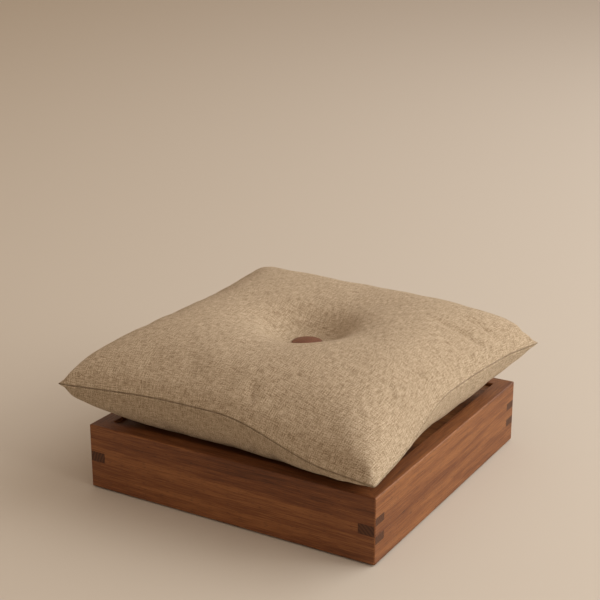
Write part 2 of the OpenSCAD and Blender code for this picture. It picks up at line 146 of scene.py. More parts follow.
shape = bmesh.new()
bmesh.ops.create_circle(shape, cap_ends=True, segments=96, radius=floor_radius)
mesh = bpy.data.meshes.new("floor")
shape.to_mesh(mesh)
shape.free()
mesh.materials.append(paper)
floor = bpy.data.objects.new("floor", mesh)
bpy.context.scene.collection.objects.link(floor)
print("floor:", floor_radius, "m disc")

# %% Lights
# Each panel as (name, place, side in metres, watts, colour)
PANELS = [
    ("main_panel", (3.6, 3.4, 3.6), 5.5, 215, "#fffcf7"),
    ("side_panel", (3.8, 0.2, 1.7), 2.6, 72, "#fff6ea"),
]
lit_middle = Vector((0, 0, 0.15))


def panel_light(name, place, size, watts, colour):
    """A square panel of light that faces the cushion."""
    light = bpy.data.lights.new(name, "AREA")
    light.size = size
    light.energy = watts
    light.color = linear(colour)[:3]
    lamp = bpy.data.objects.new(name, light)
    lamp.location = place
    lamp.rotation_euler = (lit_middle - Vector(place)).to_track_quat("-Z", "Y").to_euler()
    bpy.context.scene.collection.objects.link(lamp)


for panel in PANELS:
    panel_light(*panel)
print("lights:", ", ".join(panel[0] for panel in PANELS))

# %% The room
bounce_from = (0.42, 0.25, 0.0)
room_strength = 0.87
world = bpy.data.worlds.new("pale_room")
world.use_nodes = True
sky = world.node_tree
backdrop = sky.nodes["Background"]
facing = add(sky, "ShaderNodeTexCoord", out="Generated")
towards = add(sky, "ShaderNodeVectorMath", {0: facing, 1: bounce_from}, out="Value", operation="DOT_PRODUCT")
bounce = add(sky, "ShaderNodeMath", {0: towards, 1: 0.5}, out=0, operation="ADD", use_clamp=True)
glow = add(sky, "ShaderNodeMix", {0: bounce, 6: "#b39578", 7: "#ffefdf"}, out=2, data_type="RGBA")
sky.links.new(glow, backdrop.inputs["Color"])
backdrop.inputs["Strength"].default_value = room_strength
bpy.context.scene.world = world
bpy.context.scene.view_settings.view_transform = "Standard"
print("room: light of strength", room_strength)

# %% [markdown]
# ## Timber
# The tray is a reddish-brown hardwood with an oiled, hand-rubbed finish. Along a board the eye sees long
# streaks, paler and darker bands and short dark pores. Where a board's end shows, at the fingers, the same
# wood is cut across and drinks more oil, so it is darker. Each board is given its own offset, so that no
# two boards repeat. A pattern on object coordinates is cut from one block of wood, as the real board is.

# %% Wood along the grain
GRAIN_ALONG_X = 0.0
GRAIN_ALONG_Y = math.radians(90)
pore_width = 0.5 * MM
fibre_width = 1.6 * MM
streak_width = 9 * MM
band_width = 42 * MM
pore_spacing = 2.2 * MM
wood_relief = 0.12 * MM
end_relief = 0.1 * MM


def new_material(name, roughness, specular=0.5):
    """A material with an empty Principled shader, and the tree and shader to build on."""
    material = bpy.data.materials.new(name)
    material.use_nodes = True
    shader = material.node_tree.nodes["Principled BSDF"]
    shader.inputs["Roughness"].default_value = roughness
    shader.inputs["Specular IOR Level"].default_value = specular
    return material, material.node_tree, shader


def lay_on(tree, shader, colour, height=None, depth=0.0):
    """Gives a shader its colour, and the relief of a height, depth metres high."""
    tree.links.new(colour, shader.inputs["Base Color"])
    if height is not None:
        relief = add(tree, "ShaderNodeBump", {"Height": height, "Distance": depth, "Strength": 1.0},
                     out="Normal")
        tree.links.new(relief, shader.inputs["Normal"])


def grain_place(tree, turn):
    """Object coordinates turned so that X runs along the grain."""
    place = add(tree, "ShaderNodeTexCoord", out="Object")
    return add(tree, "ShaderNodeMapping", {"Vector": place, "Rotation": (0, 0, -turn)}, out=0)


def grain_noise(tree, place, width, length, seed, detail, bend=0.0):
    """Noise whose cells are width across the grain and length along it."""
    long = add(tree, "ShaderNodeMapping", {
        "Vector": place, "Location": (seed, seed, seed), "Scale": (1 / length, 1 / width, 1 / width)}, out=0)
    return add(tree, "ShaderNodeTexNoise", {
        "Vector": long, "Scale": 1.0, "Detail": detail, "Distortion": bend}, out="Fac")


def summed(tree, parts):
    """The sum of several values, each with its own weight."""
    total = 0.0
    for value, weight in parts:
        total = add(tree, "ShaderNodeMath", {0: value, 1: weight, 2: total}, out=0, operation="MULTIPLY_ADD")
    return total


print("wood: pores", round(pore_width / MM, 1), "mm wide, streaks", round(streak_width / MM), "mm")

# %% [markdown]
# ### Long grain and end grain
# Long grain adds three noises of different width, from the broad bands of growth down to single fibres, and
# lets one ramp turn the sum into the colours of oiled wood. Pores are a fourth, finer noise, drawn only
# where it peaks. End grain shows the growth rings as arcs round the tree's heart, which lies well outside
# the board.

# %% The two faces of the wood
def long_grain(name, turn, seed, dark, middle, pale, pore):
    """Oiled wood seen along its grain."""
    material, tree, shader = new_material(name, 0.5, 0.35)
    place = grain_place(tree, turn)
    bands = grain_noise(tree, place, band_width, 0.9, seed, 2.0, 0.5)
    streaks = grain_noise(tree, place, streak_width, 0.22, seed + 3, 3.0, 0.35)
    fibres = grain_noise(tree, place, fibre_width, 0.05, seed + 5, 4.0)
    pores = grain_noise(tree, place, 2 * pore_width, 0.012, seed + 7, 1.0)
    tone = summed(tree, [(bands, 0.35), (streaks, 0.3), (fibres, 0.42)])
    colour = add(tree, "ShaderNodeValToRGB", {"Fac": tone}, out="Color",
                 stops=[(0.40, dark), (0.66, pale), (0.52, middle)])
    open_pore = add(tree, "ShaderNodeValToRGB", {"Fac": pores}, out="Color",
                    stops=[(0.60, "#000000"), (0.70, "#ffffff")])
    share = add(tree, "ShaderNodeMath", {0: open_pore, 1: 0.55}, out=0, operation="MULTIPLY")
    colour = add(tree, "ShaderNodeMix", {0: share, 6: colour, 7: pore}, out=2, data_type="RGBA")
    height = add(tree, "ShaderNodeMath", {0: fibres, 1: open_pore}, out=0, operation="SUBTRACT")
    lay_on(tree, shader, colour, height, wood_relief)
    return material


def end_grain(name, turn, seed, dark, pale):
    """Oiled wood cut across: growth rings as faint arcs, and open pores as dots."""
    material, tree, shader = new_material(name, 0.55, 0.3)
    place = grain_place(tree, turn)
    off_board = (0, 0.06 + 0.01 * seed, 0.09)
    heart = add(tree, "ShaderNodeMapping", {"Vector": place, "Location": off_board}, out=0)
    rings = add(tree, "ShaderNodeTexWave", {
        "Vector": heart, "Scale": 55.0, "Distortion": 3.0, "Detail": 2.0, "Detail Scale": 1.5}, out="Fac",
        wave_type="RINGS", rings_direction="X")
    dots = add(tree, "ShaderNodeTexVoronoi", {"Vector": place, "Scale": 1 / pore_spacing}, out="Distance")
    dot = add(tree, "ShaderNodeValToRGB", {"Fac": dots}, out="Color",
              stops=[(0.14, "#ffffff"), (0.24, "#000000")])
    colour = add(tree, "ShaderNodeMix", {0: rings, 6: dark, 7: pale}, out=2, data_type="RGBA")
    share = add(tree, "ShaderNodeMath", {0: dot, 1: 0.5}, out=0, operation="MULTIPLY")
    colour = add(tree, "ShaderNodeMix", {0: share, 6: colour, 7: "#1d0f08"}, out=2, data_type="RGBA")
    lay_on(tree, shader, colour, rings, end_relief)
    return material


def hardwood(name, turn, seed):
    """The tray's wood for one board: its long grain, and its end grain."""
    return [
        long_grain(name + "_long_grain", turn, seed, "#4f2b14", "#6e4022", "#8e5d36", "#301a0c"),
        end_grain(name + "_end_grain", turn, seed, "#402618", "#573520"),
    ]


print("wood: two faces, long grain and end grain")

# %% [markdown]
# ## Boards, deck and battens
# A joiner breaks every sharp edge with a pass of sandpaper, and the light that runs along these small
# rounded edges is what makes a box look like wood. The model's solids have the right shape and razor edges,
# so each one is copied, its triangles are merged back into flat faces, and its edges are bevelled by about
# half a millimetre. Where two boards meet at a finger, the two bevels form the fine line that shows the
# joint.

# %% Pieces with softened edges
edge_round = 0.45 * MM


def place_in_scene(shape, name, body, materials, smooth_below=None):
    """Makes a bmesh a finished piece that rides on a body."""
    mesh = bpy.data.meshes.new(name)
    shape.to_mesh(mesh)
    shape.free()
    for material in materials:
        mesh.materials.append(material)
    if smooth_below is not None:
        mesh.shade_smooth()
        mesh.set_sharp_from_angle(angle=math.radians(smooth_below))
    piece = bpy.data.objects.new(name, mesh)
    bpy.context.scene.collection.objects.link(piece)
    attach(piece, body)
    return piece


def merged_copy(node):
    """A CAD node's shape with its loose triangles merged into flat faces."""
    shape = bmesh.new()
    shape.from_mesh(frame["nodes"][node].data)
    bmesh.ops.remove_doubles(shape, verts=shape.verts, dist=0.002 * MM)
    bmesh.ops.dissolve_limit(shape, angle_limit=math.radians(1), verts=shape.verts, edges=shape.edges)
    return shape


def softened(shape, width, segments=2, sharper_than=30):
    """Rounds every edge that is sharper than an angle."""
    limit = math.radians(sharper_than)
    edges = [e for e in shape.edges if len(e.link_faces) == 2 and e.calc_face_angle(0) > limit]
    bmesh.ops.bevel(shape, geom=edges, offset=width, offset_type="OFFSET", segments=segments, profile=0.5,
                    affect="EDGES", material=-1, clamp_overlap=True)
    return shape


print("edges rounded by", round(edge_round / MM, 2), "mm")

# %% The tray's boards
def timber_piece(node, name, materials, along):
    """A board with softened edges, whose second material shows where the grain is cut across."""
    shape = softened(merged_copy(node), edge_round)
    for face in shape.faces:
        face.material_index = int(len(materials) > 1 and abs(face.normal.dot(along)) > 0.8)
    piece = place_in_scene(shape, name, "base", materials)
    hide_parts(node)
    return piece


ALONG_X = Vector((1, 0, 0))
ALONG_Y = Vector((0, 1, 0))
BOARDS = {"front": (ALONG_X, GRAIN_ALONG_X), "back": (ALONG_X, GRAIN_ALONG_X),
          "left": (ALONG_Y, GRAIN_ALONG_Y), "right": (ALONG_Y, GRAIN_ALONG_Y)}
WOOD = {side: hardwood(side + "_board", turn, 1.7 * seed)
        for seed, (side, (along, turn)) in enumerate(BOARDS.items())}
for side, (along, turn) in BOARDS.items():
    piece = timber_piece(side + "_board", "board_" + side, WOOD[side], along)
    print(piece.name, len(piece.data.polygons), "faces")

# %% [markdown]
# ### Deck and softwood
# The deck is a panel of glued staves. One board's material would run one tone over the whole panel, so a
# brick pattern lays a tone of its own on each stave, with a dark hairline where two are glued. The battens,
# bearer and corner blocks are planed softwood, paler and with wide soft rings, and nobody oils what is out
# of sight.

# %% Deck and softwood
stave_width = 62 * MM
stave_length = 900 * MM
SOFTWOOD = ("#a87c4e", "#b98d5e", "#cba577", "#8b6238")


def stave_panel(name):
    """Glued staves that run across the tray, each with its own tone."""
    material = long_grain(name, GRAIN_ALONG_X, 9.0, "#4b2a14", "#6b4122", "#875932", "#2e1a0b")
    tree = material.node_tree
    shader = tree.nodes["Principled BSDF"]
    place = add(tree, "ShaderNodeTexCoord", out="Object")
    staves = add(tree, "ShaderNodeTexBrick", {
        "Vector": place, "Color1": "#ffffff", "Color2": "#b9a79c", "Mortar": "#3a241a", "Scale": 1.0,
        "Mortar Size": 0.25 * MM, "Brick Width": stave_length, "Row Height": stave_width},
        out="Color", offset=0.37)
    wood = shader.inputs["Base Color"].links[0].from_socket
    colour = add(tree, "ShaderNodeMix", {0: 0.85, 6: wood, 7: staves}, out=2, data_type="RGBA",
                 blend_type="MULTIPLY")
    lay_on(tree, shader, colour)
    return material


softwood = long_grain("planed_softwood", GRAIN_ALONG_X, 12.0, *SOFTWOOD)
softwood_side = long_grain("planed_softwood_side", GRAIN_ALONG_Y, 14.0, *SOFTWOOD)
softwood_end = end_grain("sawn_softwood_end", GRAIN_ALONG_X, 3.0, "#94683c", "#b48a5a")
deck_wood = [stave_panel("glued_staves"), WOOD["right"][1]]
timber_piece("deck_panel", "deck_staves", deck_wood, ALONG_X)
for node in ("front_cleat", "back_cleat", "deck_bearer"):
    timber_piece(node, "batten_" + node, [softwood, softwood_end], ALONG_X)
for node in ("left_cleat", "right_cleat"):
    timber_piece(node, "batten_" + node, [softwood_side, softwood_end], ALONG_Y)
for end in ("front", "back"):
    for side in ("left", "right"):
        timber_piece(f"corner_block_{end}_{side}", f"glue_block_{end}_{side}", [softwood, softwood_end],
                     UP)
print("deck staves:", round(stave_width / MM), "mm wide")

# %% [markdown]
# ## The cushion's shape
# The cover is two square panels of heavy linen, sewn together round their edges and turned right side out.
# Filled, each panel domes up, its sides pull in between the corners and its corners stay out as flat ears.
# The cushion could be blown up from two flat squares, but then nothing ties it to the right size. Here two
# grids are moved to the filled shape by a few curves, and the cloth simulation then lets the fabric find
# its own way. u and v run from -1 to 1 across the cushion, to the right and to the back.

# %% Sizes of the cushion, from the frame
top_button_low, top_button_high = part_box("top_button")
board_low, board_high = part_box("right_board")
slider_low, slider_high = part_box("zip_slider")
deck_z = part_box("deck_panel")[1].z
zip_axis = next(j for j in frame["joints"] if j["name"] == "zip_slide")["axis"]

cushion_middle = (top_button_low + top_button_high) / 2
cushion_turn = math.atan2(-zip_axis[1], -zip_axis[0])
on_base = Matrix.Translation((cushion_middle.x, cushion_middle.y, 0)) @ Matrix.Rotation(cushion_turn, 4, "Z")
button_radius = (top_button_high.x - top_button_low.x) / 2
rim_z = board_high.z
belly_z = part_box("cover_bottom")[0].z
seam_z = slider_low.z / 2 + slider_high.z / 2
crown_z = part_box("cover_top")[1].z
top_seat_z = top_button_low.z
bottom_seat_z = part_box("bottom_button")[1].z
seam_reach = 280 * MM
tip_pull = 27 * MM
zip_half = 165 * MM
print("cushion: seam", round(seam_z / MM), "mm up, crown", round(crown_z / MM), "mm, turned",
      round(math.degrees(cushion_turn), 2), "degrees")

# %% [markdown]
# ### The shape as curves
# Three curves hold the shape. In plan, the sides pull in between the tips, but the zip's stiff tapes keep
# their side straight. From the side, the seam runs level and climbs to each tip, each to its own height,
# because the stuffing has shifted. Across a panel, a shoulder curve says how quickly the cloth rises from
# the seam.

# %% The seam's line
# Each corner as (side along u, side along v, height above the rim, where the seam leaves its level, where it
# ends, how full the corner is)
TIPS = [
    (1, -1, 41 * MM, 0.0, 0.70, 0.4),
    (-1, -1, 75 * MM, 0.3, 1.0, 0.2),
    (1, 1, 76 * MM, 0.62, 1.0, -0.9),
    (-1, 1, 66 * MM, 0.62, 1.0, 5.0),
]
zip_side_start = 0.62


def smooth(t):
    """A smooth step from 0 to 1."""
    t = np.clip(t, 0, 1)
    return t * t * (3 - 2 * t)


def plan(u, v):
    """Where the fabric lies in plan."""
    zip_side = smooth((np.abs(u) - zip_side_start) / (1 - zip_side_start))
    out = np.where(v > 0, u * u + (zip_side - u * u) * np.clip(v, 0, 1), u * u)
    return u * (seam_reach + tip_pull * v * v), v * (seam_reach + tip_pull * out)


def seam_height(u, v):
    """Height of the seam, which each tip raises or lowers near itself."""
    height = seam_z + 0 * u
    for along_u, along_v, rise, start, end, _ in TIPS:
        near = smooth((u * along_u - start) / (end - start)) * smooth((v * along_v - start) / (end - start))
        height = height + (rim_z + rise - seam_z) * near
    return height


print("tips:", [round(rise / MM) for _, _, rise, _, _, _ in TIPS], "mm above the rim")

# %% How full the panels are
# Towards each side, the power that says how far a shoulder reaches out, and the power that rounds it
LEFT = (5.2, 0.29)
RIGHT = (3.2, 0.42)
FRONT = (2.5, 0.50)
BACK = (7.5, 0.25)
flattest = 0.05


def side_share(t, minus, plus):
    """Share of the full height at t, with one shoulder towards -1 and the other towards 1."""
    away = np.clip(np.abs(t), 0, 1)
    return np.where(t < 0, (1 - away ** minus[0]) ** minus[1], (1 - away ** plus[0]) ** plus[1])


def full_share(u, v):
    """Both directions' shares together: 1 in the middle, and less in a corner the less full it is."""
    fullness = sum(full * (1 + side_u * u) * (1 + side_v * v) / 4 for side_u, side_v, _, _, _, full in TIPS)
    one = np.maximum(side_share(u, LEFT, RIGHT), 1e-6)
    other = np.maximum(side_share(v, FRONT, BACK), 1e-6)
    fullness = np.where(np.abs(fullness) < flattest, flattest, fullness)
    return np.maximum(one ** -fullness + other ** -fullness - 1, 0) ** (-1 / fullness)


halfway = full_share(np.zeros(1), np.full(1, -0.5))[0]
print("halfway to the front the panel keeps", round(float(halfway), 2), "of its height")

# %% Top and bottom panels
dimple_flat = button_radius + 2 * MM
dimple_power = 1.5
top_dimple_reach = 128 * MM
bottom_dimple_reach = 80 * MM
valley_depth = 3.0 * MM
back_valley_depth = 4 * MM
back_valley_turn, back_valley_width = math.radians(75), math.radians(22)
valley_start, valley_deepens = 60 * MM, 60 * MM
valley_end, valley_fades = 255 * MM, 90 * MM
belly_reach = 215 * MM
belly_power = 3.5
belly_roundness = 0.52
left_front_sag = 0.3


def dimple(r, depth, reach):
    """Depth of the pull of a button at radius r."""
    return depth * (1 - smooth((r - dimple_flat) / (reach - dimple_flat))) ** dimple_power


def top_shape(u, v):
    """The filled top panel, with a valley from the button to the middle of each side."""
    x, y = plan(u, v)
    edge = seam_height(u, v)
    r = np.hypot(x, y)
    turn = np.arctan2(y, x)
    share = full_share(u, v)
    z = edge + (crown_z - edge) * share
    ring = smooth((r - valley_start) / valley_deepens) * smooth((valley_end - r) / valley_fades)
    back = np.exp(-((turn - back_valley_turn) / back_valley_width) ** 2)
    z = z - ring * (valley_depth * (1 + np.cos(4 * turn)) / 2 + back_valley_depth * back)
    z = z - dimple(r, crown_z - top_seat_z, top_dimple_reach)
    return np.stack([x, y, z], -1)


def bottom_shape(u, v):
    """The filled bottom panel, flat where it rests on the deck."""
    x, y = plan(u, v)
    edge = seam_height(u, v)
    fall = (1 - np.abs(u) ** belly_power) * (1 - np.abs(v) ** belly_power)
    spread = 1 / (1 - (belly_reach / seam_reach) ** belly_power)
    roundness = belly_roundness - left_front_sag * np.clip(-u - 0.35, 0, 1) * np.clip(-v, 0, 1)
    z = edge - (edge - belly_z) * np.clip(spread * fall, 0, 1) ** roundness
    z = z + dimple(np.hypot(x, y), bottom_seat_z - belly_z, bottom_dimple_reach)
    return np.stack([x, y, z], -1)


print("dimples reach", round(top_dimple_reach / MM), "mm and", round(bottom_dimple_reach / MM), "mm out")

# %% [markdown]
# ### The cloth as a grid
# The grid is drawn finer towards the seam, where the seam's own rows will be shaped later. Both panels
# carry the same flat coordinates in their UV map, so the weave runs true to the threads of the cut cloth,
# not to the room.

# %% Two panels sewn round their edge
SEAM_ROWS = [0.0, 1.6 * MM, 3.8 * MM, 6.8 * MM]
inner_cells = 96
seam_cells = len(SEAM_ROWS)
lines = inner_cells + 2 * seam_cells + 1
panel_width = 650 * MM

inner_reach = 1 - (SEAM_ROWS[-1] + 3.4 * MM) / seam_reach
inner_lines = list(np.linspace(-inner_reach, inner_reach, inner_cells + 1))
edge_lines = [1 - row / seam_reach for row in SEAM_ROWS]
GRID = np.array([-t for t in edge_lines] + inner_lines + edge_lines[::-1])


def sewn_panels(top, bottom):
    """A closed form from two square grids that share their edge, whose vertices know their grid points."""
    shape = bmesh.new()
    tag = shape.verts.layers.int.new("grid_point")
    for side, points in enumerate((top, bottom)):
        before = len(shape.verts), len(shape.faces)
        bmesh.ops.create_grid(shape, x_segments=lines - 1, y_segments=lines - 1, size=1)
        shape.verts.ensure_lookup_table()
        shape.faces.ensure_lookup_table()
        places = points.swapaxes(0, 1).reshape(-1, 3)
        for k, (vertex, place) in enumerate(zip(shape.verts[before[0]:], places)):
            vertex.co = place
            vertex[tag] = side * lines * lines + k
        if side:
            bmesh.ops.reverse_faces(shape, faces=shape.faces[before[1]:])
    rim = [v for v in shape.verts if v.is_boundary]
    bmesh.ops.remove_doubles(shape, verts=rim, dist=0.01 * MM)
    return shape


def grid_points(mesh):
    """Both grids of points as a mesh holds them now, top and bottom."""
    tags = np.zeros(len(mesh.vertices), int)
    mesh.attributes["grid_point"].data.foreach_get("value", tags)
    place = np.zeros(len(mesh.vertices) * 3)
    mesh.vertices.foreach_get("co", place)
    grids = np.full((2 * lines * lines, 3), np.nan)
    grids[tags] = place.reshape(-1, 3)
    top, bottom = grids.reshape(2, lines, lines, 3).swapaxes(1, 2)
    return np.where(np.isnan(top), bottom, top), np.where(np.isnan(bottom), top, bottom)


u_grid, v_grid = np.meshgrid(GRID, GRID, indexing="ij")
line_gap = 2 * seam_reach / inner_cells
print("panels:", lines, "x", lines, "lines of cloth,", round(line_gap / MM, 1), "mm apart")

# %% The flat cut of the cloth
def measured(points, axis):
    """How far along its own line of the grid each point lies, from 0 to 1."""
    steps = np.linalg.norm(np.diff(points, axis=axis), axis=-1)
    run = np.concatenate([np.zeros_like(steps.take([0], axis)), np.cumsum(steps, axis)], axis)
    return run / run.take([-1], axis)


def cloth_coordinates(mesh, top, bottom):
    """Lays the flat cut of the panels into the UV map, so that a thread stays a thread."""
    tags = np.zeros(len(mesh.vertices), int)
    mesh.attributes["grid_point"].data.foreach_get("value", tags)
    flat = []
    for points in (top, bottom):
        flat.append(np.stack([measured(points, 0), measured(points, 1)], -1).swapaxes(0, 1).reshape(-1, 2))
    flat = np.concatenate(flat)
    corner = np.zeros(len(mesh.loops), int)
    mesh.loops.foreach_get("vertex_index", corner)
    layer = mesh.uv_layers.new(name="cloth")
    layer.uv.foreach_set("vector", flat[tags[corner]].ravel())


print("cut of a panel:", round(panel_width / MM), "mm square")

# %% [markdown]
# ## Letting the cloth settle
# A filled cushion is never as smooth as its curves. The cover is a little larger than the space it fills,
# so the cloth is simulated with a pressure inside it, and swells between the seam, the buttons and the
# deck. The seam's rows, the seats of the buttons and the flat belly are pinned. A short simulation leaves
# wrinkles finer than the heavy cloth would take, so they are evened out afterwards. The move fades out
# towards the buttons, and no point may move further than a cap, so the cushion keeps the size that the
# frame gives it.

# %% Cloth simulation
sim_frames = 20
sim_pressure = 2.4
sim_spare_cloth = 0.008
sim_quality = 6
cloth_mass = 0.3
cloth_stretch, cloth_shear, cloth_bending = 18, 8, 3.0
seat = button_radius + 3 * MM


def ring_distance():
    """How many lines each grid point is from the seam."""
    step = np.minimum(np.arange(lines), lines - 1 - np.arange(lines))
    return np.minimum(step[:, None], step[None, :])


def simulated(top, bottom):
    """Both grids after the cloth has found its own way between its pins."""
    mesh = bpy.data.meshes.new("settling")
    shape = sewn_panels(top, bottom)
    shape.to_mesh(mesh)
    shape.free()
    piece = bpy.data.objects.new("settling", mesh)
    bpy.context.scene.collection.objects.link(piece)
    rows = ring_distance() < seam_cells
    resting = bottom[..., 2] < belly_z + 0.3 * MM
    pin_top = rows | (np.hypot(top[..., 0], top[..., 1]) < seat)
    pin_bottom = rows | resting | (np.hypot(bottom[..., 0], bottom[..., 1]) < seat)
    pinned = np.stack([pin_top, pin_bottom]).swapaxes(1, 2).reshape(-1)
    tags = np.zeros(len(mesh.vertices), int)
    mesh.attributes["grid_point"].data.foreach_get("value", tags)
    group = piece.vertex_groups.new(name="pins")
    group.add([int(k) for k in np.nonzero(pinned[tags])[0]], 1.0, "REPLACE")

    modifier = piece.modifiers.new("Cloth", "CLOTH")
    cloth = modifier.settings
    cloth.quality = sim_quality
    cloth.mass = cloth_mass
    cloth.tension_stiffness = cloth.compression_stiffness = cloth_stretch
    cloth.shear_stiffness = cloth_shear
    cloth.bending_stiffness = cloth_bending
    cloth.use_pressure = True
    cloth.uniform_pressure_force = sim_pressure
    cloth.shrink_min = -sim_spare_cloth
    cloth.vertex_group_mass = "pins"
    cloth.effector_weights.gravity = 0
    modifier.collision_settings.use_collision = False
    modifier.collision_settings.use_self_collision = False
    modifier.point_cache.frame_end = sim_frames
    for step in range(1, sim_frames + 1):
        bpy.context.scene.frame_set(step)
    result = piece.evaluated_get(bpy.context.evaluated_depsgraph_get()).to_mesh()
    new_grids = grid_points(result)
    bpy.context.scene.frame_set(1)
    bpy.data.objects.remove(piece)
    return new_grids


print("simulation:", sim_frames, "frames at a pressure of", sim_pressure)

# %% The settled cloth
sim_cap = 15 * MM
evening_passes = 5
move_fades = 90 * MM


def evened(points):
    """A grid whose inner points are each the mean of themselves and their four neighbours."""
    points = points.copy()
    points[1:-1, 1:-1] = (points[1:-1, 1:-1] + points[:-2, 1:-1] + points[2:, 1:-1]
                          + points[1:-1, :-2] + points[1:-1, 2:]) / 5
    return points


def capped(start, end):
    """The move from one grid to another, evened, faded towards the button and held under the cap."""
    for _ in range(evening_passes):
        end = evened(end)
    near_button = smooth((np.hypot(start[..., 0], start[..., 1]) - seat) / move_fades)
    move = (end - start) * near_button[..., None]
    length = np.linalg.norm(move, axis=-1, keepdims=True)
    return start + move * np.tanh(length / sim_cap) * sim_cap / np.maximum(length, 1e-9)


start_top = top_shape(u_grid, v_grid)
start_bottom = bottom_shape(u_grid, v_grid)
top_points, bottom_points = start_top, start_bottom
new_top, new_bottom = simulated(start_top, start_bottom)
top_points, bottom_points = capped(start_top, new_top), capped(start_bottom, new_bottom)
moved = np.linalg.norm(top_points - start_top, axis=-1)
print("cloth moved", round(moved.mean() / MM, 1), "mm on average, at most", round(moved.max() / MM, 1), "mm")

# %% [markdown]
# ## The seam
# A plain seam has no piping. The two panels meet in a fine groove, and the seam allowance folded up inside
# pushes each panel out into a low lip beside it. The grid's outer rows are laid out across the seam to that
# profile, along the direction in which each panel leaves it. At the back the groove opens into the channel
# of the zip.

# %% Seam profile and zip channel
# Each row's way in from the seam and its height over the panel, and on the zip its depth and height
SEAM_ALONG = [0.0, 1.2 * MM, 3.2 * MM, 6.4 * MM]
SEAM_OUT = [-2.6 * MM, 0.5 * MM, 1.7 * MM, 0.7 * MM]
ZIP_ROWS = [(-7.5 * MM, 0.0), (-7.5 * MM, 3.9 * MM), (-0.6 * MM, 3.6 * MM), (0.1 * MM, 5.2 * MM)]
zip_reach = zip_half + 3 * MM
back_side = 2
panel_rise = 60 * MM


def unit(vectors):
    """The same directions, one long."""
    return vectors / np.maximum(np.linalg.norm(vectors, axis=-1, keepdims=True), 1e-9)


def shape_seam(top, bottom):
    """Lays the outer rows of both grids to the profile of the seam, side by side."""
    for side in range(4):
        views = []
        for points in (top, bottom):
            view = points.swapaxes(0, 1) if side % 2 == 0 else points
            views.append(view[::-1] if side >= 2 else view)
        edge = views[0][0].copy()
        along = unit(np.gradient(edge, axis=0))
        heart = np.array([0, 0, seam_z])
        for up, view in zip((1, -1), views):
            inwards = unit(view[seam_cells + 1] - edge)
            out = unit(np.cross(along, inwards))
            away = edge - heart + np.array([0, 0, up * panel_rise])
            out = out * np.sign((out * away).sum(-1, keepdims=True))
            first = np.arange(lines)
            for row in range(seam_cells):
                inside = (first >= row) & (first <= lines - 1 - row)
                if row == 0:
                    outward = unit(np.cross(along, [0, 0, 1.0]))
                    outward = outward * np.sign((outward * (edge - heart)).sum(-1, keepdims=True))
                    place = edge + outward * SEAM_OUT[0]
                else:
                    place = edge + inwards * SEAM_ALONG[row] + out * SEAM_OUT[row]
                view[row][inside] = place[inside]
            if side == back_side:
                zipped = np.abs(edge[:, 0]) < zip_reach
                for row, (deep, high) in enumerate(ZIP_ROWS):
                    view[row][zipped, 1] = seam_reach + deep
                    view[row][zipped, 2] = seam_z + up * high
                    view[row][zipped, 0] = edge[zipped, 0]


print("seam:", seam_cells, "rows to a side; zip channel", round(2 * zip_reach / MM), "mm long")

# %% [markdown]
# ### Puckers, waves and creases
# A seam under tension gathers the cloth into small folds that run in from it and die out over an inch. The
# stuffing shows as broad, slow waves. Both are noise along the cloth's normal, in millimetres of a real
# fold. A crease is one short fold where a corner has been bent, so each one is placed on its own.

# %% Puckers and waves
pucker_fades, pucker_starts = 26 * MM, 6 * MM
COARSE_FOLD = (17 * MM, 90 * MM)
FINE_FOLD = (8 * MM, 50 * MM)
pucker_patch = 70 * MM


def puckered(points, facing, strength):
    """Small folds that run in from the seam, where the needle has gathered one panel a little more."""
    ring = ring_distance()
    normal = np.cross(np.gradient(points, axis=0), np.gradient(points, axis=1))
    normal = unit(normal) * facing
    result = points.copy()
    for i in range(lines):
        for j in range(lines):
            if ring[i, j] < seam_cells - 1:
                continue
            x, y, z = points[i, j]
            gap_x, gap_y = seam_reach - abs(x), seam_reach - abs(y)
            near, run = (gap_x, y) if gap_x < gap_y else (gap_y, x)
            side = 3.1 * (gap_x < gap_y) + 1.7 * (x > 0) + 0.9 * (y > 0)
            fade = math.exp(-max(near, 0) / pucker_fades) * min(1.0, max(near, 0) / pucker_starts)
            if fade < 0.02:
                continue
            coarse = noise.noise((run / COARSE_FOLD[0], near / COARSE_FOLD[1], side))
            fine = noise.noise((run / FINE_FOLD[0], near / FINE_FOLD[1], side + 9))
            fold = coarse + 0.5 * fine
            patch = 0.4 + 0.6 * max(0.0, noise.noise((run / pucker_patch, side, 4.0)) * 2)
            result[i, j] += normal[i, j] * fold * patch * fade * strength
    return result


def slow_waves(points, facing, height, length, seed):
    """Broad unevenness of the stuffing that shows through the cloth."""
    normal = unit(np.cross(np.gradient(points, axis=0), np.gradient(points, axis=1))) * facing
    fade = np.minimum(1, ring_distance() / (seam_cells + 8))
    shift = Vector((seed, seed, seed))
    wave = np.array([[noise.noise(Vector(p) / length + shift) for p in row] for row in points])
    return points + normal * (wave * fade * height)[..., None]


print("puckers fade over", round(pucker_fades / MM), "mm from the seam")

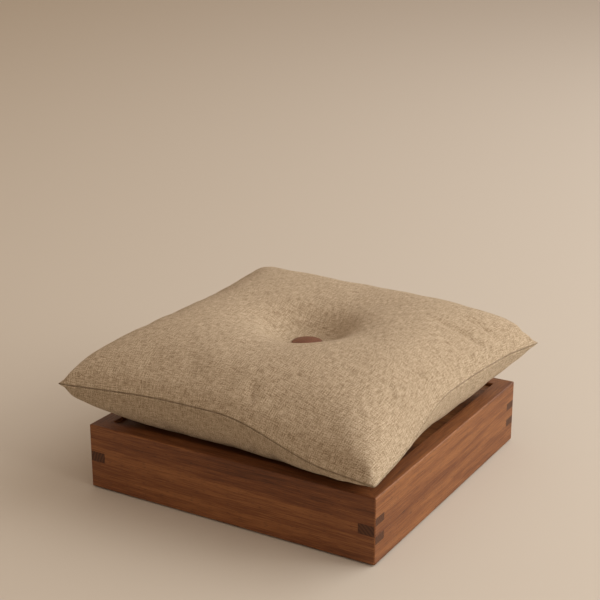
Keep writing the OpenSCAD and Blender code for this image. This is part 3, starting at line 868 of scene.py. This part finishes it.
# %% Creases
# Each as (start x, start y, end x, end y, depth, half-width), in the cushion's own plan
TOP_CREASES = [
    (192 * MM, 118 * MM, 264 * MM, 140 * MM, 6.5 * MM, 10 * MM),
    (214 * MM, 178 * MM, 270 * MM, 190 * MM, 5.0 * MM, 10 * MM),
    (226 * MM, -128 * MM, 262 * MM, -150 * MM, 2.6 * MM, 9 * MM),
    (40 * MM, -230 * MM, 58 * MM, -262 * MM, 2.4 * MM, 9 * MM),
    (272 * MM, 298 * MM, 298 * MM, 272 * MM, 4.5 * MM, 7 * MM),
]
BOTTOM_CREASES = [
    (66 * MM, -270 * MM, 50 * MM, -244 * MM, 4.0 * MM, 9 * MM),
    (104 * MM, -272 * MM, 92 * MM, -244 * MM, 3.4 * MM, 9 * MM),
    (-120 * MM, -270 * MM, -112 * MM, -246 * MM, 3.0 * MM, 9 * MM),
    (268 * MM, -60 * MM, 244 * MM, -54 * MM, 3.4 * MM, 9 * MM),
]


def creased(points, facing, creases):
    """Single short folds, deepest in their middle, with the fabric raised a little beside each."""
    normal = unit(np.cross(np.gradient(points, axis=0), np.gradient(points, axis=1))) * facing
    flat = points[..., :2]
    for start_x, start_y, end_x, end_y, depth, half_width in creases:
        start, run = np.array([start_x, start_y]), np.array([end_x - start_x, end_y - start_y])
        along = ((flat - start) @ run) / (run @ run)
        beside = np.linalg.norm(flat - start - along[..., None] * run, axis=-1) / half_width
        ends = np.exp(-(2 * (along - 0.5)) ** 4)
        points = points - normal * (depth * ends * (1 - beside ** 2) * np.exp(-beside ** 2))[..., None]
    return points


print("creases:", len(TOP_CREASES), "on top and", len(BOTTOM_CREASES), "below")

# %% The cloth in full
clear = 0.4 * MM
wave_height, wave_length = 1.0 * MM, 80 * MM
top_pucker, bottom_pucker = 1.7 * MM, 2.0 * MM


def above_tray(points):
    """Keeps the cloth just clear of the deck, and of the boards where it hangs over them."""
    corners = [Vector(p) for p in points.reshape(-1, 3)]
    turned = np.array([on_base @ p for p in corners]).reshape(points.shape)
    inner = board_low.x
    over_board = (np.abs(turned[..., 0]) > inner - clear) | (np.abs(turned[..., 1]) > inner - clear)
    ground = np.where(over_board, rim_z + clear, deck_z + clear)
    points[..., 2] = np.maximum(points[..., 2], ground)
    return points


top_points = slow_waves(top_points, 1, wave_height, wave_length, 3.0)
top_points = creased(puckered(top_points, 1, top_pucker), 1, TOP_CREASES)
bottom_points = creased(puckered(bottom_points, -1, bottom_pucker), -1, BOTTOM_CREASES)
shape_seam(top_points, bottom_points)
bottom_points = above_tray(bottom_points)
print("cloth: from", round(float(bottom_points[..., 2].min()) / MM), "to",
      round(float(top_points[..., 2].max()) / MM), "mm up")

# %% [markdown]
# ## Linen
# The cover is an oatmeal-coloured upholstery linen in plain weave. Its threads are spun unevenly and in
# several shades, so that up close the cloth is a mesh of pale and dark dashes, and from afar it is mottled.
# Each set of threads gets its own long, thin noise, and the weave decides which set lies on top. The real
# threads are about one millimetre wide. They are drawn twice as wide here, because finer ones would not
# show.

# %% The seam's groove, in painted shade
groove_shade_width = 1.6 * MM
groove_shade_share = 0.55


def painted_groove_shade(tree, flat, colour):
    """Paints shade on the cloth along its cut edge, where the seam's groove lies in shadow."""
    centred = add(tree, "ShaderNodeVectorMath", {0: flat, 1: (0.5, 0.5, 0)}, out=0, operation="SUBTRACT")
    sides = add(tree, "ShaderNodeVectorMath", {0: centred}, out=0, operation="ABSOLUTE")
    split = add(tree, "ShaderNodeSeparateXYZ", {0: sides})
    outer = add(tree, "ShaderNodeMath", {0: split.outputs["X"], 1: split.outputs["Y"]}, out=0,
                operation="MAXIMUM")
    # Painted shade: the cloth darkens towards its cut edge, where the seam's groove is shadowed
    groove = add(tree, "ShaderNodeMapRange", {
        "Value": outer, "From Min": 0.5 - 2 * groove_shade_width / panel_width,
        "From Max": 0.5 - 0.5 * groove_shade_width / panel_width, "To Max": groove_shade_share}, out=0)
    return add(tree, "ShaderNodeMix", {0: groove, 6: colour, 7: "#5d4c37"}, out=2, data_type="RGBA")


print("groove:", round(groove_shade_width / MM, 1), "mm wide")

# %% Linen material
thread = 2.0 * MM
slub_length = 15 * MM
linen_mottle = 3 * MM
linen_relief = 0.4 * MM


def linen(name, pale, middle, dark):
    """Heavy plain-weave linen on the flat coordinates of its cut."""
    material, tree, shader = new_material(name, 0.86, 0.15)
    shader.inputs["Sheen Weight"].default_value = 0.25
    shader.inputs["Sheen Roughness"].default_value = 0.5
    shader.inputs["Sheen Tint"].default_value = linear("#fff0da")
    flat = add(tree, "ShaderNodeUVMap", out="UV", uv_map="cloth")
    across, along = panel_width / thread, panel_width / slub_length
    uneven = {"Scale": 1.0, "Detail": 3.0, "Roughness": 0.6}
    warp_place = add(tree, "ShaderNodeMapping", {"Vector": flat, "Scale": (across, along, 1)}, out=0)
    weft_place = add(tree, "ShaderNodeMapping", {"Vector": flat, "Scale": (along, across, 1),
                                                 "Location": (7.3, 2.1, 0)}, out=0)
    warp = add(tree, "ShaderNodeTexNoise", {"Vector": warp_place, **uneven}, out="Fac")
    weft = add(tree, "ShaderNodeTexNoise", {"Vector": weft_place, **uneven}, out="Fac")
    pairs = across / 2
    weave_place = add(tree, "ShaderNodeMapping", {"Vector": flat, "Scale": (pairs, pairs, 1)}, out=0)
    weave = add(tree, "ShaderNodeTexChecker", {"Vector": weave_place, "Scale": 2.0}, out="Fac")
    threads = add(tree, "ShaderNodeMix", {0: weave, 2: warp, 3: weft}, out=0, data_type="FLOAT")
    mottle = add(tree, "ShaderNodeTexNoise", {
        "Vector": flat, "Scale": panel_width / linen_mottle, "Detail": 3.0, "Roughness": 0.6}, out="Fac")
    tone = summed(tree, [(mottle, 0.22), (threads, 0.85)])
    colour = add(tree, "ShaderNodeValToRGB", {"Fac": tone}, out="Color",
                 stops=[(0.40, dark), (0.66, pale), (0.53, middle)])
    # Paints the shade of the seam's groove onto the linen
    colour = painted_groove_shade(tree, flat, colour)
    round_warp = add(tree, "ShaderNodeTexWave", {"Vector": weave_place, "Scale": 1.0}, out="Fac",
                     bands_direction="X")
    round_weft = add(tree, "ShaderNodeTexWave", {"Vector": weave_place, "Scale": 1.0}, out="Fac",
                     bands_direction="Y")
    relief = add(tree, "ShaderNodeMix", {0: weave, 2: round_warp, 3: round_weft}, out=0, data_type="FLOAT")
    height = add(tree, "ShaderNodeMath", {0: relief, 1: threads}, out=0, operation="ADD")
    lay_on(tree, shader, colour, height, linen_relief)
    return material


linen_cloth = linen("oatmeal_linen", "#d3c4ad", "#b3a189", "#7e6a4f")
print("linen: threads drawn", round(thread / MM, 1), "mm wide")

# %% [markdown]
# ### The cover
# Two grids of points become one closed mesh, and a subdivision surface rounds what lies between the points.

# %% The cover
def cushion_piece(name, top, bottom, material, slot, fill, levels):
    """A padded piece from two grids of points, in its place on the base."""
    shape = sewn_panels(top, bottom)
    mesh = bpy.data.meshes.new(name)
    shape.to_mesh(mesh)
    shape.free()
    cloth_coordinates(mesh, top, bottom)
    mesh.transform(on_base)
    mesh.materials.append(material)
    mesh.shade_smooth()
    piece = bpy.data.objects.new(name, mesh)
    bpy.context.scene.collection.objects.link(piece)
    if levels:
        finer = piece.modifiers.new("Subdivision", "SUBSURF")
        finer.levels = finer.render_levels = levels
    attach(piece, "cushion")
    return piece


cover = cushion_piece("linen_cover", top_points, bottom_points, linen_cloth, "linen_weave", 0.75, 1)
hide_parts("cover_top", "cover_bottom")
print("cover:", len(cover.data.polygons), "faces before subdivision")

# %% [markdown]
# ## What is inside
# Under the linen lies a plain cotton case, and inside that the fibre filling. Both are soft pieces of their
# own, which could be drawn out through the zip. They follow the cover from inside: every point moves
# towards its partner on the other panel by the thickness of what lies over it, and away from the seam by a
# set inset.

# %% Layers inside the cover
case_inset, filling_inset = 11 * MM, 19 * MM
case_depth, filling_depth = 4 * MM, 7 * MM
inset_power = 8
deepest_share = 0.3


def layer_inside(top, bottom, inset, depth):
    """Both grids of a layer that lies depth under the cover and inset from its seam."""
    gap = np.linalg.norm(bottom - top, axis=-1, keepdims=True)
    share = np.minimum(deepest_share, depth / np.maximum(gap, 0.1 * MM))
    layers = [top + (bottom - top) * share, bottom + (top - bottom) * share]
    for layer in layers:
        layer[..., 0] -= np.sign(u_grid) * inset * np.abs(u_grid) ** inset_power
        layer[..., 1] -= np.sign(v_grid) * inset * np.abs(v_grid) ** inset_power
    rim = ring_distance() == 0
    layers[0][rim] = layers[1][rim] = (layers[0][rim] + layers[1][rim]) / 2
    return layers


print("case", round(case_inset / MM), "mm and filling", round(filling_inset / MM), "mm in from the seam")

# %% Cotton and fibre
# The pitch of real ticking is half a millimetre. It is drawn nearly three times as coarse, so that it shows.
cotton_pitch = 1.4 * MM
cotton_mottle = 4 * MM
fibre_tangle = 9 * MM


def woven_cotton(name, pale, dark):
    """Fine cotton cloth on the flat coordinates of its cut."""
    material, tree, shader = new_material(name, 0.85, 0.2)
    flat = add(tree, "ShaderNodeUVMap", out="UV", uv_map="cloth")
    fine = add(tree, "ShaderNodeTexChecker", {"Vector": flat, "Scale": panel_width / cotton_pitch}, out="Fac")
    mottle = add(tree, "ShaderNodeTexNoise", {
        "Vector": flat, "Scale": panel_width / cotton_mottle, "Detail": 4.0}, out="Fac")
    colour = add(tree, "ShaderNodeMix", {0: mottle, 6: dark, 7: pale}, out=2, data_type="RGBA")
    height = add(tree, "ShaderNodeMath", {0: fine, 1: mottle}, out=0, operation="ADD")
    lay_on(tree, shader, colour, height, 0.1 * MM)
    return material


def matted_fibre(name):
    """Curled polyester fibre: a soft white tangle."""
    material, tree, shader = new_material(name, 0.95, 0.1)
    shader.inputs["Sheen Weight"].default_value = 0.4
    place = add(tree, "ShaderNodeTexCoord", out="Object")
    tangle = add(tree, "ShaderNodeTexNoise", {
        "Vector": place, "Scale": 1 / fibre_tangle, "Detail": 6.0, "Distortion": 2.0}, out="Fac")
    colour = add(tree, "ShaderNodeMix", {0: tangle, 6: "#d9d4c8", 7: "#f7f4ec"}, out=2, data_type="RGBA")
    lay_on(tree, shader, colour, tangle, 1.5 * MM)
    return material


ticking = woven_cotton("cotton_ticking", "#ebe4d5", "#d8cfbc")
white_fibre = matted_fibre("polyester_fibre")
print("inside materials:", ticking.name, "and", white_fibre.name)

# %% Cotton case and fibre filling
inner_fill = 0.8
case_points = layer_inside(top_points, bottom_points, case_inset, case_depth)
case = cushion_piece("cotton_case", *case_points, ticking, "cotton_ticking", inner_fill, 0)
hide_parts("case_top", "case_bottom")
filling_points = layer_inside(top_points, bottom_points, filling_inset, filling_depth)
filling_points[0] = slow_waves(filling_points[0], -1, 1.5 * MM, 22 * MM, 8.0)
filling = cushion_piece("fibre_filling", *filling_points, white_fibre, "fibre_fill", inner_fill, 0)
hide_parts("filling")
print("inside the cover:", case.name, "and", filling.name)

# %% [markdown]
# ## Leather buttons
# Each button is a domed shell with a piece of leather stretched over it and gathered underneath. Its
# outline is one curve turned about the middle, so it is drawn as a profile and spun. The leather draws
# tight over the dome, so its grain is fine there, and the rim has the small pleats of the gathering. Under
# the shell a steel plate carries a loop, and a waxed twine between the loops draws both buttons into the
# cushion.

# %% Leather
leather_cell = 1.3 * MM
leather_patch = 14 * MM
leather_bend, leather_bend_length = 1.2 * MM, 5 * MM
leather_relief = 0.12 * MM


def leather(name):
    """Full-grain leather, waxed: small closed cells with fine creases between them."""
    material, tree, shader = new_material(name, 0.46, 0.45)
    shader.inputs["Coat Weight"].default_value = 0.08
    shader.inputs["Coat Roughness"].default_value = 0.35
    place = add(tree, "ShaderNodeTexCoord", out="Object")
    bend = add(tree, "ShaderNodeTexNoise", {"Vector": place, "Scale": 1 / leather_bend_length}, out="Color")
    bent = add(tree, "ShaderNodeVectorMath", {0: bend, 1: (leather_bend,) * 3, 2: place}, out=0,
               operation="MULTIPLY_ADD")
    cells = add(tree, "ShaderNodeTexVoronoi", {"Vector": bent, "Scale": 1 / leather_cell}, out="Distance",
                feature="DISTANCE_TO_EDGE")
    crease = add(tree, "ShaderNodeValToRGB", {"Fac": cells}, out="Color",
                 stops=[(0.0, "#000000"), (0.16, "#ffffff")])
    patch = add(tree, "ShaderNodeTexNoise", {"Vector": place, "Scale": 1 / leather_patch, "Detail": 3.0},
                out="Fac")
    hide = add(tree, "ShaderNodeMix", {0: patch, 6: "#6a3c26", 7: "#8a5436"}, out=2, data_type="RGBA")
    colour = add(tree, "ShaderNodeMix", {0: crease, 6: "#4c2a1b", 7: hide}, out=2, data_type="RGBA")
    lay_on(tree, shader, colour, crease, leather_relief)
    return material


button_leather = leather("waxed_leather")
print("leather: cells", round(leather_cell / MM, 1), "mm across")

# %% Buttons
button_steps = 96
dome_points = 8
rim_round = 1.1 * MM
straight = 3 * MM
back_hollow, back_rise = 0.6 * MM, 0.35 * MM
pleats = 22
pleat_height, pleat_in = 0.22 * MM, 0.006


def button(name, node, up):
    """A leather-covered button that fills the box of its CAD node."""
    low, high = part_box(node)
    radius, height = (high.x - low.x) / 2, high.z - low.z
    dome = height - straight
    ball = (radius ** 2 + dome ** 2) / (2 * dome)
    shape = bmesh.new()
    outline = [(0, height)]
    for k in range(1, dome_points + 1):
        reach = (radius - rim_round) * k / dome_points
        outline.append((reach, height - ball + math.sqrt(ball ** 2 - reach ** 2)))
    outline += [(radius - 0.3 * rim_round, straight - 0.2 * rim_round), (radius, straight - rim_round),
                (radius, rim_round), (radius - 0.3 * rim_round, 0.3 * rim_round), (radius - rim_round, 0.0),
                (radius * 0.55, back_rise), (radius * 0.34, back_hollow), (0, back_hollow)]
    chain = [shape.verts.new((x, 0, z)) for x, z in outline]
    edges = [shape.edges.new(pair) for pair in zip(chain, chain[1:])]
    bmesh.ops.spin(shape, geom=chain + edges, cent=(0, 0, 0), axis=(0, 0, 1), angle=math.tau,
                   steps=button_steps, use_merge=True)
    bmesh.ops.remove_doubles(shape, verts=shape.verts, dist=0.01 * MM)
    for vertex in shape.verts:
        reach = math.hypot(vertex.co.x, vertex.co.y)
        if reach > radius * 0.5 and vertex.co.z < 1.6 * rim_round:
            turn = math.atan2(vertex.co.y, vertex.co.x)
            share = (reach / radius - 0.5) * 2
            vertex.co.z += pleat_height * (1 + math.cos(pleats * turn + math.sin(3 * turn))) * share
            vertex.co.x *= 1 - pleat_in * (1 + math.cos(pleats * turn))
            vertex.co.y *= 1 - pleat_in * (1 + math.cos(pleats * turn))
    middle = (low + high) / 2
    turn_over = Matrix.Identity(4) if up else Matrix.Rotation(math.pi, 4, "X")
    shape.transform(Matrix.Translation((middle.x, middle.y, low.z if up else high.z)) @ turn_over)
    bmesh.ops.recalc_face_normals(shape, faces=shape.faces)
    piece = place_in_scene(shape, name, "cushion", [button_leather], 60)
    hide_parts(node)
    return piece


button("button_top", "top_button", True)
button("button_bottom", "bottom_button", False)
print("buttons:", round(2 * button_radius / MM), "mm across")

# %% [markdown]
# ## Screws
# The cleats and the deck are held by countersunk wood screws. The frame knows where each one sits, so every
# screw is built along +Z and is then laid on its own loose solid of the model's screws. The head is spun as
# an open cup, and the ring left open at its face is bridged to the outline of the cross recess. The thread
# is drawn as a row of ridges, because only a screw taken out of the wood shows it.

# %% Plated metal
polish_patch = 1.5 * MM
metal_relief = 0.02 * MM


def brushed_metal(name, pale, dark, roughness):
    """Metal with faint uneven polish."""
    material, tree, shader = new_material(name, roughness)
    shader.inputs["Metallic"].default_value = 1.0
    place = add(tree, "ShaderNodeTexCoord", out="Object")
    polish = add(tree, "ShaderNodeTexNoise", {"Vector": place, "Scale": 1 / polish_patch, "Detail": 4.0},
                 out="Fac")
    colour = add(tree, "ShaderNodeMix", {0: polish, 6: dark, 7: pale}, out=2, data_type="RGBA")
    lay_on(tree, shader, colour, polish, metal_relief)
    return material


screw_steel = brushed_metal("zinc_plated_steel", "#c9c7bd", "#a5a49c", 0.32)
shank_steel = brushed_metal("nickel_plated_steel", "#bdb9ae", "#8f8c84", 0.3)
zip_metal = brushed_metal("antique_brass", "#a08a5c", "#6f5d3c", 0.38)
print("metals:", screw_steel.name, shank_steel.name, zip_metal.name)

# %% One screw
head_radius, head_height, shank_radius = 4 * MM, 2.4 * MM, 2 * MM
thread_pitch, thread_depth = 1.8 * MM, 0.45 * MM
recess_reach, recess_arm, recess_depth = 2.2 * MM, 0.6 * MM, 1.5 * MM
head_edge, plain_shank, point_length = 0.25 * MM, 3 * MM, 2.6 * MM
screw_steps = 24


def screw(length):
    """A countersunk screw along +Z with a cross recess, its head's face at the origin."""
    shape = bmesh.new()
    outline = [(head_radius, 0), (head_radius, head_edge), (shank_radius, head_height),
               (shank_radius, head_height + plain_shank)]
    height = outline[-1][1]
    while height + thread_pitch < length - plain_shank:
        outline += [(shank_radius - thread_depth, height + 0.4 * thread_pitch),
                    (shank_radius - thread_depth, height + 0.8 * thread_pitch),
                    (shank_radius, height + thread_pitch)]
        height += thread_pitch
    outline += [(shank_radius - thread_depth, length - point_length), (0, length)]
    chain = [shape.verts.new((x, 0, z)) for x, z in outline]
    edges = [shape.edges.new(pair) for pair in zip(chain, chain[1:])]
    bmesh.ops.spin(shape, geom=chain + edges, cent=(0, 0, 0), axis=(0, 0, 1), angle=math.tau,
                   steps=screw_steps, use_merge=True)
    bmesh.ops.remove_doubles(shape, verts=shape.verts, dist=0.005 * MM)
    rim = [e for e in shape.edges if e.is_boundary]
    quarter = [(recess_arm, recess_arm), (recess_reach, recess_arm), (recess_reach, -recess_arm)]
    cross = [Matrix.Rotation(-math.radians(90) * k, 2) @ Vector(p) for k in range(4) for p in quarter]
    mouth = [shape.verts.new((p.x, p.y, 0)) for p in cross]
    bed = [shape.verts.new((p.x * 0.5, p.y * 0.5, recess_depth)) for p in cross]
    for k in range(len(cross)):
        shape.faces.new((mouth[k], mouth[k - 1], bed[k - 1], bed[k]))
    shape.faces.new(bed)
    mouth_edges = [shape.edges.get((mouth[k], mouth[k - 1])) for k in range(len(cross))]
    bmesh.ops.bridge_loops(shape, edges=rim + mouth_edges)
    bmesh.ops.recalc_face_normals(shape, faces=shape.faces)
    mesh = bpy.data.meshes.new("screw")
    shape.to_mesh(mesh)
    shape.free()
    return mesh


print("screw: head", round(2 * head_radius / MM), "mm, thread every", round(thread_pitch / MM, 1), "mm")

# %% Screws in their places
def islands(node):
    """The loose solids of a CAD node, each as its points."""
    shape = bmesh.new()
    shape.from_mesh(frame["nodes"][node].data)
    bmesh.ops.remove_doubles(shape, verts=shape.verts, dist=0.002 * MM)
    waiting, found = set(shape.verts), []
    while waiting:
        group, edge = set(), [waiting.pop()]
        while edge:
            vertex = edge.pop()
            group.add(vertex)
            near = {e.other_vert(vertex) for e in vertex.link_edges} & waiting
            waiting -= near
            edge += near
        found.append(np.array([v.co for v in group]))
    shape.free()
    return found


def screws(name, node, material):
    """All the screws of a CAD node, each laid on its own solid."""
    shape = bmesh.new()
    found = islands(node)
    for points in found:
        low, high = points.min(0), points.max(0)
        axis = int(np.argmax(high - low))
        across = (axis + 1) % 3
        at_low = points[np.abs(points[:, axis] - low[axis]) < 0.1 * MM]
        at_high = points[np.abs(points[:, axis] - high[axis]) < 0.1 * MM]
        head_is_low = np.ptp(at_low[:, across]) > np.ptp(at_high[:, across])
        place, direction = (low + high) / 2, np.zeros(3)
        place[axis] = low[axis] if head_is_low else high[axis]
        direction[axis] = 1 if head_is_low else -1
        made = screw(high[axis] - low[axis])
        turn = UP.rotation_difference(Vector(direction)).to_matrix().to_4x4()
        made.transform(Matrix.Translation(place) @ turn)
        shape.from_mesh(made)
        bpy.data.meshes.remove(made)
    piece = place_in_scene(shape, name, "base", [material], 40)
    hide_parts(node)
    return len(found)


count = screws("screws_cleats", "cleat_screws", screw_steel)
count += screws("screws_deck", "deck_screws", screw_steel)
print("screws:", count)

# %% [markdown]
# ## Felt pads
# Four discs of pressed felt keep the tray off the floor. They are the model's discs with their edges
# softened, in a material whose short tangled fibres have no direction.

# %% Felt pads
pad_round = 0.5 * MM
felt_fibre = 0.8 * MM
felt_relief = 0.3 * MM


def felt(name):
    """Pressed wool felt: a short tangle of fibres with a soft edge."""
    material, tree, shader = new_material(name, 0.95, 0.1)
    shader.inputs["Sheen Weight"].default_value = 0.3
    place = add(tree, "ShaderNodeTexCoord", out="Object")
    fibres = add(tree, "ShaderNodeTexNoise", {
        "Vector": place, "Scale": 1 / felt_fibre, "Detail": 5.0, "Distortion": 3.0}, out="Fac")
    colour = add(tree, "ShaderNodeMix", {0: fibres, 6: "#3b3733", 7: "#6d675f"}, out=2, data_type="RGBA")
    lay_on(tree, shader, colour, fibres, felt_relief)
    return material


pad_felt = felt("wool_felt")
for end in ("front", "back"):
    for side in ("left", "right"):
        shape = softened(merged_copy(f"foot_pad_{end}_{side}"), pad_round)
        piece = place_in_scene(shape, f"pad_{end}_{side}", "base", [pad_felt], 30)
        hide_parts(f"foot_pad_{end}_{side}")
print("pads: 4, edges rounded by", round(pad_round / MM, 1), "mm")

# %% [markdown]
# ## The zip
# The opening at the back has a spiral zip. Each row is one nylon wire wound into a flat coil, so it is
# drawn the same way: a small circle spun round the row's own line, moving on by a fraction of the pitch at
# every step. One tenth of the row is spun, laid end to end ten times, and stretched to the coil's depth.

# %% Zip coils
coil_pitch = 1.35 * MM
coil_wire = 0.3 * MM
coil_steps = 10
coil_parts = 10
coil_reach = 162 * MM
coil_rise = 1.4 * MM
coil_place = 277 * MM
coil_height, coil_depth = 1.6 * MM, 3.0 * MM
wire_sides = 6
dye_patch = 6 * MM


def dyed_nylon(name, colour, dark):
    """Nylon that has taken its dye a little unevenly."""
    material, tree, shader = new_material(name, 0.4, 0.5)
    place = add(tree, "ShaderNodeTexCoord", out="Object")
    dye = add(tree, "ShaderNodeTexNoise", {"Vector": place, "Scale": 1 / dye_patch, "Detail": 2.0}, out="Fac")
    lay_on(tree, shader, add(tree, "ShaderNodeMix", {0: dye, 6: dark, 7: colour}, out=2, data_type="RGBA"))
    return material


def coil(name, node, side, material):
    """One row of a spiral zip."""
    shape = bmesh.new()
    spin_radius = coil_height / 2 - coil_wire
    start = Matrix.Translation((0, 0, spin_radius)) @ Matrix.Rotation(math.radians(90), 4, "X")
    made = bmesh.ops.create_circle(shape, cap_ends=False, segments=wire_sides, radius=coil_wire, matrix=start)
    ring = made["verts"] + list({e for v in made["verts"] for e in v.link_edges})
    length = 2 * (coil_reach - coil_wire)
    turns = round(length / coil_pitch / coil_parts)
    steps = turns * coil_steps
    bmesh.ops.spin(shape, geom=ring, cent=(0, 0, 0), axis=(1, 0, 0), dvec=(length / coil_parts / steps, 0, 0),
                   angle=math.tau * turns, steps=steps)
    part = bpy.data.meshes.new("coil_part")
    shape.to_mesh(part)
    for _ in range(1, coil_parts):
        part.transform(Matrix.Translation((length / coil_parts, 0, 0)))
        shape.from_mesh(part)
    bmesh.ops.remove_doubles(shape, verts=shape.verts, dist=0.01 * MM)
    bmesh.ops.holes_fill(shape, edges=[e for e in shape.edges if e.is_boundary])
    bmesh.ops.recalc_face_normals(shape, faces=shape.faces)
    wide = Matrix.Diagonal((1, coil_depth / coil_height, 1, 1))
    place = Matrix.Translation((-length / 2, coil_place, seam_z + side * coil_rise))
    shape.transform(on_base @ place @ wide)
    piece = place_in_scene(shape, name, "cushion", [material], 60)
    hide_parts(node)
    return turns * coil_parts


nylon = dyed_nylon("dyed_nylon", "#8d7a5e", "#7a684f")
turns = coil("coil_upper", "zip_coil_upper", 1, nylon)
coil("coil_lower", "zip_coil_lower", -1, nylon)
print("zip:", turns, "turns to a row")

# %% [markdown]
# ### Slider and pull
# The slider and its pull are cast metal, so their edges are rounded by a fifth of a millimetre, as a mould
# leaves them. Each rides on its own body, because the slider runs along the coils and the pull swings on
# it.

# %% Slider and pull
casting_round = 0.2 * MM
for node, name in (("zip_slider", "slider"), ("zip_pull", "pull")):
    shape = softened(merged_copy(node), casting_round)
    piece = place_in_scene(shape, name, node, [zip_metal], 30)
    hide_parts(node)
print("slider and pull: edges rounded by", round(casting_round / MM, 1), "mm")

# %% [markdown]
# ### What stays as the model draws it
# The button loops, the zip's end stops, its tapes and the tufting twine are hidden by the cover or between
# the panels, and the model already gives them their shape. They only need materials.

# %% Twine, tape and plated loops
twine_ply, twine_lay = 3.2 * MM, math.radians(35)
tape_rib = 5 * MM


def twisted_twine(name):
    """Waxed linen twine, laid up from three plies."""
    material, tree, shader = new_material(name, 0.5, 0.4)
    place = add(tree, "ShaderNodeTexCoord", out="Object")
    laid = add(tree, "ShaderNodeMapping", {"Vector": place, "Rotation": (0, twine_lay, 0)}, out=0)
    plies = add(tree, "ShaderNodeTexWave", {"Vector": laid, "Scale": 1 / twine_ply, "Distortion": 0.6},
                out="Fac", bands_direction="Z")
    colour = add(tree, "ShaderNodeMix", {0: plies, 6: "#6e5a3d", 7: "#cdb68d"}, out=2, data_type="RGBA")
    lay_on(tree, shader, colour, plies, 0.15 * MM)
    return material


def woven_tape(name):
    """Polyester tape with a fine herringbone weave."""
    material, tree, shader = new_material(name, 0.75, 0.2)
    place = add(tree, "ShaderNodeTexCoord", out="Object")
    ribs = add(tree, "ShaderNodeTexWave", {"Vector": place, "Scale": 1 / tape_rib, "Distortion": 0.4},
               out="Fac", bands_direction="DIAGONAL", wave_profile="TRI")
    colour = add(tree, "ShaderNodeMix", {0: ribs, 6: "#85724f", 7: "#a8946e"}, out=2, data_type="RGBA")
    lay_on(tree, shader, colour, ribs, 0.08 * MM)
    return material


tape = woven_tape("zip_tape")
AS_DRAWN = {
    "top_button_shank": shank_steel, "bottom_button_shank": shank_steel, "zip_end_stops": zip_metal,
    "zip_tape_upper": tape, "zip_tape_lower": tape, "tufting_twine": twisted_twine("waxed_twine"),
}
for node, material in AS_DRAWN.items():
    drawn = frame["nodes"][node].data
    drawn.materials.clear()
    drawn.materials.append(material)
print("shown as the model draws them:", ", ".join(sorted(AS_DRAWN)))
